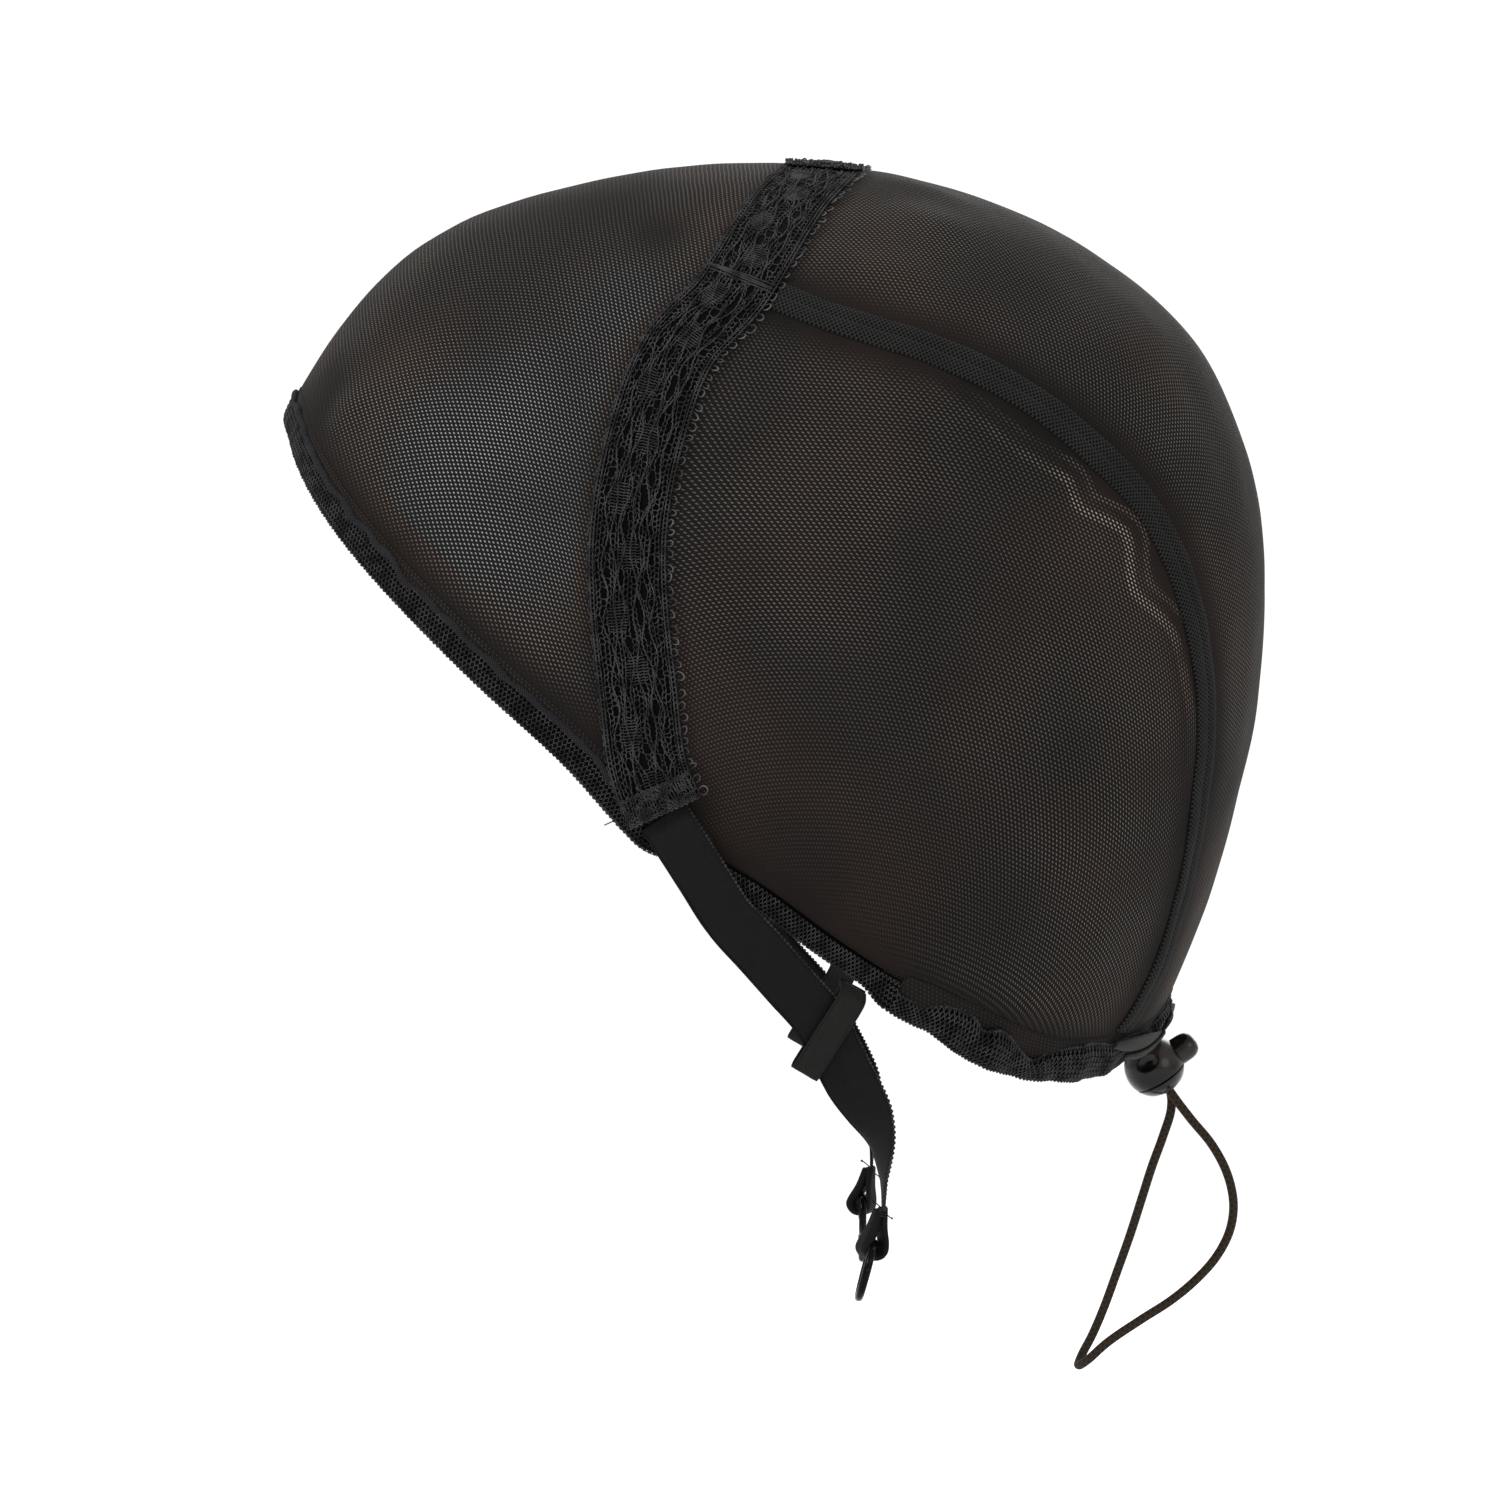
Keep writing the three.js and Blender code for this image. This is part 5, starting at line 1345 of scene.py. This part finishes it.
def casing_lift(a, s):
    """Lift over the gathers, higher where they are wide."""
    wide = (casing_across(a, 1.0) - casing_across(a, -1.0)) / CASING_HEIGHT
    body = 0.7 + (0.7 + 1.15 * wide) * np.sqrt(np.clip(1 - np.abs(s) ** 3.2, 0, 1))
    return body + 0.28 * gather_wave(a + 2.2 * s) + 0.25 * noise(a / 2.2, s * 1.4, 43)


def make_casing():
    """Gathered tube: puckered net, a body painted near-black as shade, beady yarns over it and two folded
    satin bits.
    """
    soup = Soup()
    start, end = casing, hem_length - casing
    a = np.arange(start, end + 0.25, 0.5)
    a[-1] = end
    grid_a, grid_s = np.meshgrid(a, np.linspace(-1, 1, 21), indexing="ij")
    # Puckered net under and above the gathers, as far as the seam with the panels
    seam = hem_half(a / hem_length)[:, None] + EDGE_SPACE + 0.5
    share = (grid_s + 1) / 2
    w = lerp(casing_across(grid_a, -0.9), seam, share)
    pucker = 0.35 * noise(grid_a / 2.4, w / 4, 44) + 0.25 * noise(grid_a / 1.1, w / 5, 45)
    lift = lerp(0.7, NET_WALL + 0.02, share) + np.sin(math.pi * share) * pucker
    # This net's pores get a little painted light
    soup.lay_sheet(hem_band, grid_a, w, lift, 0.1, NET, 0.04)
    # The gathers: a body painted near-black as shade, under a coarse beady knit
    w = casing_across(grid_a, grid_s * 0.99)
    soup.lay_sheet(hem_band, grid_a, w, casing_lift(grid_a, grid_s) - 0.2, 0.1, HEM_CORE_SHADE)
    walk = np.arange(start, end, BEAD_PITCH / 5)
    step = 1.86 / (CASING_LANES - 1)
    for k in range(CASING_LANES):
        s = -0.93 + step * k + 0.45 * step * np.sin(turns(walk, BEAD_PITCH) + k * math.pi)
        bead = np.cos(2 * turns(walk, BEAD_PITCH))
        lift = casing_lift(walk, s) + 0.05 - 0.06 * bead
        soup.lay_strand(hem_band, walk, casing_across(walk, s), lift, 0.16 - 0.05 * bead, HEM_YARN)
    for edge in (-1, 1):
        s = np.full(walk.shape, edge * 0.98)
        tooth = np.sin(turns(walk, BEAD_PITCH * 0.9))
        across = casing_across(walk, s) + edge * 0.1 * tooth
        soup.lay_strand(hem_band, walk, across, casing_lift(walk, s) + 0.05, 0.27 + 0.12 * tooth, HEM_YARN)
    # Two short bits of satin ribbon folded over the gathers, on the side that the photo shows
    for rows, half in CASING_SATIN:
        t = np.linspace(0, len(rows) - 1, 24)
        path = catmull(np.array(rows, float), t)
        width = catmull(np.array(half, float)[:, None], t)
        grid = np.linspace(-1, 1, 9)
        strip_a = casing + path[:, :1] + 0 * grid
        strip_w = path[:, 1:2] + width * grid
        strip_lift = 2.5 + path[:, 2:3] + 0.25 * np.cos(grid * 1.5)
        soup.lay_sheet(hem_band, strip_a, strip_w, strip_lift, strip_lift - 0.35, SATIN)
    return soup.make("casing", "nape_casing")


# Satin bits: centre line as along, across and extra lift, and half widths
CASING_SATIN = [
    ([(54, 4.7, 0.2), (59, 4.0, 0.4), (65, 2.9, 0.5), (71, 1.6, 0.6), (76, 0.6, 0.5)],
     [0.7, 1.7, 1.9, 1.6, 0.9]),
    ([(61, 0.2, 0.3), (67, -0.6, 1.0), (73, -1.0, 1.2), (79, -0.6, 1.2)],
     [0.4, 1.0, 1.3, 0.7]),
]
casing_piece = make_casing()


def make_cord_tape():
    """Small satin tape over the casing, beside the place where the cord comes out."""
    soup = Soup()
    half = 4.0
    centre = hem_length / 2 - half - CORD_DIAMETER
    a = np.linspace(centre - half, centre + half, 25)
    w = np.linspace(-1.7, 3.0, 15)
    grid_a, grid_w = np.meshgrid(a, w, indexing="ij")
    s = grid_w / (CASING_HEIGHT / 2)
    bulge = 0.15 * noise(grid_a / 2, grid_w / 2, 51)
    lift = casing_lift(grid_a, s) + 0.45 + bulge
    soup.lay_sheet(hem_band, grid_a, grid_w, lift + 0.35, lift - 0.3, SATIN)
    return soup.make("cord_tab", "cord_tape")


make_cord_tape()


# Straps

def strap_stations(side, per_row=10):
    """Centre line of a strap from under the lace to its knot, its run, outward face and width."""
    lift = HEM_WALL + GAP + STRAP_EASE + STRAP_WALL / 2
    d = np.array([row_direction(row, side) for row in STRAP_ON_CAP])
    lying, faces = skin(d, np.array([lift - STRAP_TOP_SUNK] + [lift] * (len(d) - 1)))
    share = np.array(STRAP_HANGING)[:, :3] - [0, 0, 1]
    hanging = share * [side * HALF_WIDTH, HALF_LENGTH, CROWN_RISE] - [0, CENTRE_FORWARD, 0]
    rows = np.vstack([lying, hanging])
    faces = np.vstack([faces, np.tile([side, 0, 0], (len(hanging), 1))])
    twist = np.array([0.0] * len(lying) + [row[3] for row in STRAP_HANGING])
    width = np.array([1.0] * len(lying) + [row[4] for row in STRAP_HANGING])
    t = np.linspace(0, len(rows) - 1, (len(rows) - 1) * per_row + 1)
    centre = catmull(rows, t)
    run = unit(np.gradient(centre, axis=0))
    index = np.arange(len(rows))
    face = np.stack([np.interp(t, index, faces[:, i]) for i in range(3)], -1)
    angle = side * np.radians(np.interp(t, index, twist))[:, None]
    out = unit(face - run * (face * run).sum(1, keepdims=True))
    out = out * np.cos(angle) + np.cross(run, out) * np.sin(angle)
    return centre, run, out, STRAP_WIDTH * np.interp(t, index, width)


def ribbon_grid(soup, centre, run, out, width, wall, material, columns=11, dish=0.0, ripple=0.0):
    """A flat ribbon with rounded edges; dish bows it across its width."""
    across = np.cross(run, out)
    s = np.linspace(-1, 1, columns)
    walked = lengths_along(centre)
    grid_w = s[None] * width[:, None] / 2
    bow = dish * (1 - s[None] ** 2) + ripple * noise(walked[:, None] / 6, s[None] * 1.2, 61)
    thick = wall / 2 * np.sqrt(np.clip(1 - s[None] ** 8, 0.15, 1))
    flat = centre[:, None] + across[:, None] * grid_w[..., None]
    upper = flat + out[:, None] * (bow + thick)[..., None]
    lower = flat + out[:, None] * (bow - thick)[..., None]
    cloth = np.stack([np.broadcast_to(walked[:, None], grid_w.shape), grid_w, grid_w * 0], -1)
    soup.shell(upper, lower, cloth, material)
    return across, walked


LOOP_RADIUS = (STRAP_LOOP_WIDTH - STRAP_WALL) / 2


def make_strap(name, node, side):
    """Satin ribbon with a beaded rear edge, a thread-bound knot and a small end loop."""
    centre, run, out, width = strap_stations(side)
    soup = Soup()
    sway = 0.22 * noise(np.arange(len(centre)) / 11, 0, 62)[:, None] * np.cross(run, out)
    # Between lace and keeper the strap bows back, as worn
    to_keeper = np.clip(np.linspace(0, 1, len(centre)) / KEEPER_CROSSING, 0, 1)[:, None]
    sway = sway + np.sin(math.pi * to_keeper ** 1.4) ** 2 * [0, -STRAP_BOW, 0]
    across, walked = ribbon_grid(
        soup, centre + sway, run, out, width, STRAP_RIBBON, STRAP, dish=0.12, ripple=0.1)
    fine = np.arange(0, walked[-1], 0.16)
    resampled = lambda v: np.stack([np.interp(fine, walked, v[:, i]) for i in range(3)], -1)
    c, o, x = resampled(centre + sway), unit(resampled(out)), unit(resampled(across))
    half = np.interp(fine, walked, width)[:, None] / 2
    bead = np.sin(turns(fine, STRAP_BEAD))
    rear = c - x * side * (half + 0.05 + 0.06 * bead[:, None])
    soup.strand(rear, o, 0.22 + 0.12 * bead, EDGE)
    soup.strand(c + x * side * half, o, 0.3, STRAP)
    # Stitched knot, its thread ends and the end loop below it
    knot = centre[-1]
    depth = STRAP_LOOP_DROP - STRAP_LOOP_WIDTH / 2
    middle = np.array([knot[0], knot[1] - LOOP_RADIUS, knot[2] - depth])
    rows = [knot + [0, 0, 0.6], knot + [0, -0.2, -depth * 0.5]]
    for turn in range(0, 181, 30):
        angle = math.radians(turn)
        rows.append(middle + LOOP_RADIUS * np.array([0, math.cos(angle), -math.sin(angle)]))
    end = knot + [0, -0.9, 0.2]
    rows += [lerp(rows[-1], end, 0.5) + [0, 0.3, 0], end]
    t = np.linspace(0, len(rows) - 1, 70)
    loop = catmull(rows, t)
    loop_run = unit(np.gradient(loop, axis=0))
    loop_out = np.cross(np.array([-side, 0.0, 0.0]), loop_run) * side
    turn = math.radians(LOOP_TURN) * side
    cos, sin = math.cos(turn), math.sin(turn)
    swivel = np.array([[cos, sin, 0], [-sin, cos, 0], [0, 0, 1]])
    loop, loop_run, loop_out = (loop - middle) @ swivel + middle, loop_run @ swivel, loop_out @ swivel
    last = len(rows) - 1
    pinch = np.interp(t, [0, 1.6, last - 2, last], [2.6, STRAP_LOOP_RIBBON, STRAP_LOOP_RIBBON, 2.2])
    # Folded double at the front of the loop, single at its rear
    thick = np.interp(t, [0, 2, 5, last - 2, last], [1.3, 0.9, 1.2, 2.0, 1.7])[:, None]
    ribbon_grid(soup, loop, loop_run, loop_out, pinch, thick, STRAP, columns=9)
    for k in range(5):
        turn = np.linspace(0, 2 * math.pi, 15)[:-1]
        wrap = knot + np.stack([
            1.35 * np.cos(turn), -0.35 + 0.85 * np.sin(turn),
            0.5 - 0.34 * k + 0.2 * np.sin(turn + k),
        ], -1)
        soup.strand(wrap, np.tile([0, 0, 1.0], (14, 1)), 0.19, THREAD, closed=True)
    for dy, dz, lean in ((-2.3, 1.9, 0.4), (1.7, -1.5, -0.5)):
        s = np.linspace(0, 1, 10)[:, None]
        tail = knot + s * [side * 0.8, dy, dz] + s * (1 - s) * [side * 0.9, 0, lean * 2]
        soup.strand(tail, np.tile([side, 0, 0.1], (10, 1)), 0.15 + 0.13 * (s[:, 0] > 0.85), THREAD)
    return soup.make(name, node), (centre, out), middle


strap_l, strap_left_line, loop_left = make_strap("strap_l", "strap_left", 1)
strap_r, strap_right_line, loop_right = make_strap("strap_r", "strap_right", -1)


def make_keeper(name, node, side, strap_line):
    """Ribbon from the hem, over the strap, folded round its far edge and back behind it."""
    centre, out = strap_line
    root_share = hem_line.nearest(skin_base(row_direction(KEEPER_ROOT)))
    edge = hem_line.beside(root_share, -(HEM_WIDTH / 2 - 0.6)) * [side, 1, 1]
    k = round(KEEPER_CROSSING * (len(centre) - 1))
    crossing, face = centre[k], out[k]
    spread = (STRAP_WALL + KEEPER_WALL) / 2 + KEEPER_EASE
    over, under = (skin(edge[None], np.array([lift]))[0][0] for lift in (1.5, 0.3))
    way = crossing - over
    near = float(np.linalg.norm(way))
    heading = unit(way - face * (way @ face))
    level = lambda distance, lift: crossing + heading * distance + face * lift
    reach = KEEPER_REACH - near - spread
    rows = [over, level(-near * KEEPER_STRAIGHT, spread), level(0, spread),
            level(reach * 0.6, spread * 1.1)]
    for turn in range(75, -76, -30):
        angle = math.radians(turn)
        rows.append(level(reach + spread * math.cos(angle), spread * math.sin(angle)))
    rows += [level(reach * 0.6, -spread), level(0, -spread),
             level(-near * KEEPER_STRAIGHT, -spread), under]
    t = np.linspace(0, len(rows) - 1, 90)
    line = catmull(rows, t)
    line_run = unit(np.gradient(line, axis=0))
    normal = unit(np.cross(line_run, np.cross(heading, face)[None]))
    soup = Soup()
    width = np.full(len(line), KEEPER_WIDTH)
    across, _ = ribbon_grid(soup, line, line_run, normal, width, KEEPER_RIBBON, RIBBON, ripple=0.08)
    for edge_side in (-1, 1):
        soup.strand(line + unit(across) * edge_side * KEEPER_WIDTH / 2, normal, 0.26, RIBBON)
    return soup.make(name, node)


make_keeper("keeper_l", "keeper_left", 1, strap_left_line)
make_keeper("keeper_r", "keeper_right", -1, strap_right_line)


# Ring and hook

def hanging_top(middle, radius, wire):
    """Top of a wire ring that hangs in a strap's end loop, clear of its ribbon."""
    floor = middle[2] - LOOP_RADIUS + STRAP_WALL / 2
    chord = math.sqrt((radius - wire / 2) ** 2 - (STRAP_LOOP_RIBBON / 2) ** 2)
    return np.array([middle[0], middle[1], floor + 2 * GAP + radius - chord])


def make_ring():
    radius = (RING_DIAMETER - RING_WIRE) / 2
    top = hanging_top(loop_left, radius, RING_WIRE)
    lean = math.radians(RING_LEAN)
    down = np.array([0, -math.sin(lean), -math.cos(lean)])
    turn = np.linspace(0, 2 * math.pi, 97)[:-1]
    ring = top + radius * (np.sin(turn)[:, None] * [1, 0, 0] + (1 - np.cos(turn))[:, None] * down)
    centre = top + radius * down
    soup = Soup()
    soup.strand(ring, unit(ring - centre), RING_WIRE / 2, METAL, sides=20, closed=True)
    return soup.make("ring", "strap_ring")


def make_hook():
    """Plain wire hook: an open eye in the strap's loop, a short shank and a bend below."""
    radius = (HOOK_EYE - HOOK_WIRE) / 2
    top = hanging_top(loop_right, radius, HOOK_WIRE)
    eye = top - [0, 0, radius]
    rows = [(radius * math.cos(math.radians(t)), radius * math.sin(math.radians(t)))
            for t in np.linspace(205, -80, 16)]
    foot = -(HOOK_LENGTH - radius - HOOK_BEND - HOOK_WIRE)
    rows.append((0, (foot - radius) / 2))
    rows += [(HOOK_BEND * (math.cos(math.radians(t)) - 1), foot - HOOK_BEND * math.sin(math.radians(t)))
             for t in range(0, 181, 30)]
    rows.append((-2 * HOOK_BEND, foot + 1.8))
    places = np.array([[eye[0] + x, eye[1], eye[2] + z] for x, z in rows])
    wire = catmull(places, np.linspace(0, len(places) - 1, 160))
    taper = np.ones(len(wire))
    taper[:4] = taper[-1:-5:-1] = [0.05, 0.6, 0.85, 0.97]
    soup = Soup()
    soup.strand(wire, np.tile([0, 1.0, 0], (len(wire), 1)), HOOK_WIRE / 2 * taper, METAL, sides=16)
    return soup.make("hook", "strap_hook")


ring = make_ring()
make_hook()


# Cord lock: a ball with a parting groove and funnelled cord holes, and its button

barrel_low, barrel_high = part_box("lock_barrel")
lock_centre = np.array((barrel_low + barrel_high) / 2) / MM
lock_lean = math.radians(LOCK_LEAN)
LOCK_AXES = np.array([
    [1, 0, 0],
    [0, math.cos(lock_lean), math.sin(lock_lean)],
    [0, -math.sin(lock_lean), math.cos(lock_lean)],
])


def to_lock(points):
    """From the lock's own axes: Y along the button's slide, Z up the cord."""
    return lock_centre + points @ LOCK_AXES


def lathe(profile, sides=64):
    """Points (rows, sides, 3) of a turned profile of (radius, height) about Z."""
    turn = np.arange(sides) * 2 * math.pi / sides
    profile = np.asarray(profile, float)
    return np.stack([
        profile[:, :1] * np.cos(turn), profile[:, :1] * np.sin(turn),
        np.repeat(profile[:, 1:], sides, 1),
    ], -1)


def make_barrel():
    """Ball with a parting groove, scooped sides and an oval bore for the two cords."""
    radius = BALL_DIAMETER / 2
    groove_z, groove_lean, groove_half, groove_deep = GROOVE
    # Latitudes of the ball's rings, close together round the groove
    latitude = np.radians(np.concatenate([
        np.linspace(68, -8, 60), np.linspace(-8.5, -38, 100), np.linspace(-39, -68, 24),
    ]))
    outline = np.stack([radius * np.cos(latitude), radius * np.sin(latitude)], -1)
    funnel = lambda sign: [(2.1, sign * 5.58), (1.9, sign * 5.2), (1.75, sign * 4.6),
                           (BORE_RADIUS, sign * 3.4)]
    profile = np.vstack([funnel(1)[::-1], outline, funnel(-1)])
    places = lathe(profile, 120)
    flat = np.hypot(places[..., 0], places[..., 1])
    on_ball = smoothstep(flat, 3.4, 3.8)[..., None]
    from_groove = places[..., 2] - groove_z - groove_lean * places[..., 0]
    groove = groove_deep * np.exp(-(from_groove / groove_half) ** 4)
    # A shallow dark dimple on either side, where the shell is scooped out
    from_dimple = ((places[..., 1] + 0.8) / 1.9) ** 2 + ((places[..., 2] - 1.7) / 1.25) ** 2
    dimple = 0.9 * np.exp(-from_dimple ** 2) * (np.abs(places[..., 0]) > 3)
    places = places * (1 - on_ball * (groove + dimple)[..., None] / radius)
    flat = np.hypot(places[..., 0], places[..., 1])
    # The bore is an oval, wide enough for both cords side by side
    squeeze = smoothstep(flat, 3.4, 2.0)
    places[..., 0] *= 1 + (BORE_WIDE - 1) * squeeze
    places[..., 1] *= 1 - (1 - BORE_NARROW) * squeeze
    inside = lathe([(BORE_RADIUS, height) for height in np.linspace(-3.4, 3.4, 9)], 120)
    inside = inside * [BORE_WIDE, BORE_NARROW, 1]
    whole = np.vstack([places, inside[1:-1]])
    soup = Soup()
    soup.grid(to_lock(whole[::-1]), np.zeros_like(whole), PLASTIC, wrap=True)
    return soup.make("lock_ball", "lock_barrel")


make_barrel()


def make_button():
    """The plunger: its head stands out of the ball, with a domed end and a rounded rim."""
    r = BALL_DIAMETER / 2 - BALL_WALL - PLUNGER_WALL - PLUNGER_EASE
    rows = [(0.02, 4.2), (r * 0.98, 4.2), (r, 4.6), (r, 6.9), (r * 0.97, 7.8), (r * 0.86, 8.7),
            (r * 0.66, 9.35), (r * 0.4, 9.66), (r * 0.2, 9.74), (0.02, 9.75)]
    places = lathe(catmull(rows, np.linspace(0, len(rows) - 1, 60)))
    turned = np.stack([places[..., 0], places[..., 2], -places[..., 1]], -1)
    soup = Soup()
    soup.grid(to_lock(turned), np.zeros_like(turned), PLASTIC, wrap=True)
    return soup.make("lock_button", "lock_plunger", body="plunger")


make_button()


# Draw cord

route = np.array(CORD_ROUTE)
dense = catmull(route, np.linspace(0, len(route) - 1, 421))
cord_length = float(lengths_along(dense)[-1])


def make_cord():
    places = dense / MM
    soup = Soup()
    up = np.tile([1.0, 0.05, 0.05], (len(places), 1))
    soup.strand(places, up, CORD_DIAMETER / 2, CORD, sides=14)
    piece = soup.make("cord", "draw_cord")
    [tuple(p) for p in dense]
    return piece


make_cord()

for piece, flat, area, carried, edges in (
    (net_front, front_flat, front_area, ["front_hem", "lace_band_left"], [hem_front]),
    (net_left, left_flat, left_area, ["lace_band_left", "seam_tape_left"], [hem_left]),
    (net_right, right_flat, right_area, ["lace_band_right", "seam_tape_right"], [hem_right]),
    (net_back, back_flat, back_area, ["seam_tape_left", "nape_casing"], [casing_piece]),
):
    tuple(flat)
    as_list(carried)
    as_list(edges)
    print("sheet", piece.name, "flat mm", np.round(flat / MM), "area m2", round(area, 5))
print("cord length mm", round(cord_length / MM, 1))


# Studio: camera, floor, soft white light

def make_camera():
    data = bpy.data.cameras.new("camera")
    data.sensor_width = SENSOR
    data.lens = SENSOR * CAMERA_DISTANCE / FIELD
    camera = bpy.data.objects.new("camera", data)
    camera.location = (CAMERA_DISTANCE, CAMERA_ALONG, CAMERA_UP)
    camera.rotation_euler = (math.pi / 2, 0, math.pi / 2)
    bpy.context.scene.collection.objects.link(camera)
    bpy.context.scene.camera = camera


def make_floor():
    mesh = bpy.data.meshes.new("floor")
    half = FLOOR_SIZE / 2
    mesh.from_pydata([(-half, -half, FLOOR_Z), (half, -half, FLOOR_Z), (half, half, FLOOR_Z),
                      (-half, half, FLOOR_Z)], [], [(0, 1, 2, 3)])
    mesh.materials.append(paper_material())
    floor = bpy.data.objects.new("floor", mesh)
    bpy.context.scene.collection.objects.link(floor)
    floor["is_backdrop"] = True


def make_light(name, place, size, power):
    data = bpy.data.lights.new(name, "AREA")
    data.shape = "DISK"
    data.size = size
    data.energy = power
    lamp = bpy.data.objects.new(name, data)
    lamp.location = place
    lamp.rotation_euler = (Vector(AIM) - Vector(place)).to_track_quat("-Z", "Y").to_euler()
    bpy.context.scene.collection.objects.link(lamp)


def make_world():
    world = bpy.data.worlds.new("studio")
    world.use_nodes = True
    world.node_tree.nodes["Background"].inputs["Color"].default_value = (1, 1, 1, 1)
    world.node_tree.nodes["Background"].inputs["Strength"].default_value = SKY
    bpy.context.scene.world = world


AIM = (0, 0, -0.1)
# Lights: name, place in metres, size in metres and power in watts
LIGHTS = [
    ("key", (0.8, -1.1, 0.9), 0.6, 18), ("fill", (1.0, 0.9, 0.2), 0.8, 4),
    ("top", (-0.3, -0.3, 1.3), 0.9, 9), ("back", (-1.1, 0.5, 0.5), 0.9, 6),
]
make_camera()
make_floor()
make_world()
for light in LIGHTS:
    make_light(*light)
bpy.context.scene.view_settings.view_transform = "Standard"

low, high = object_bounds()
sizes = {"cad": [list(cad_low), list(cad_high)], "visual": [list(low), list(high)]}
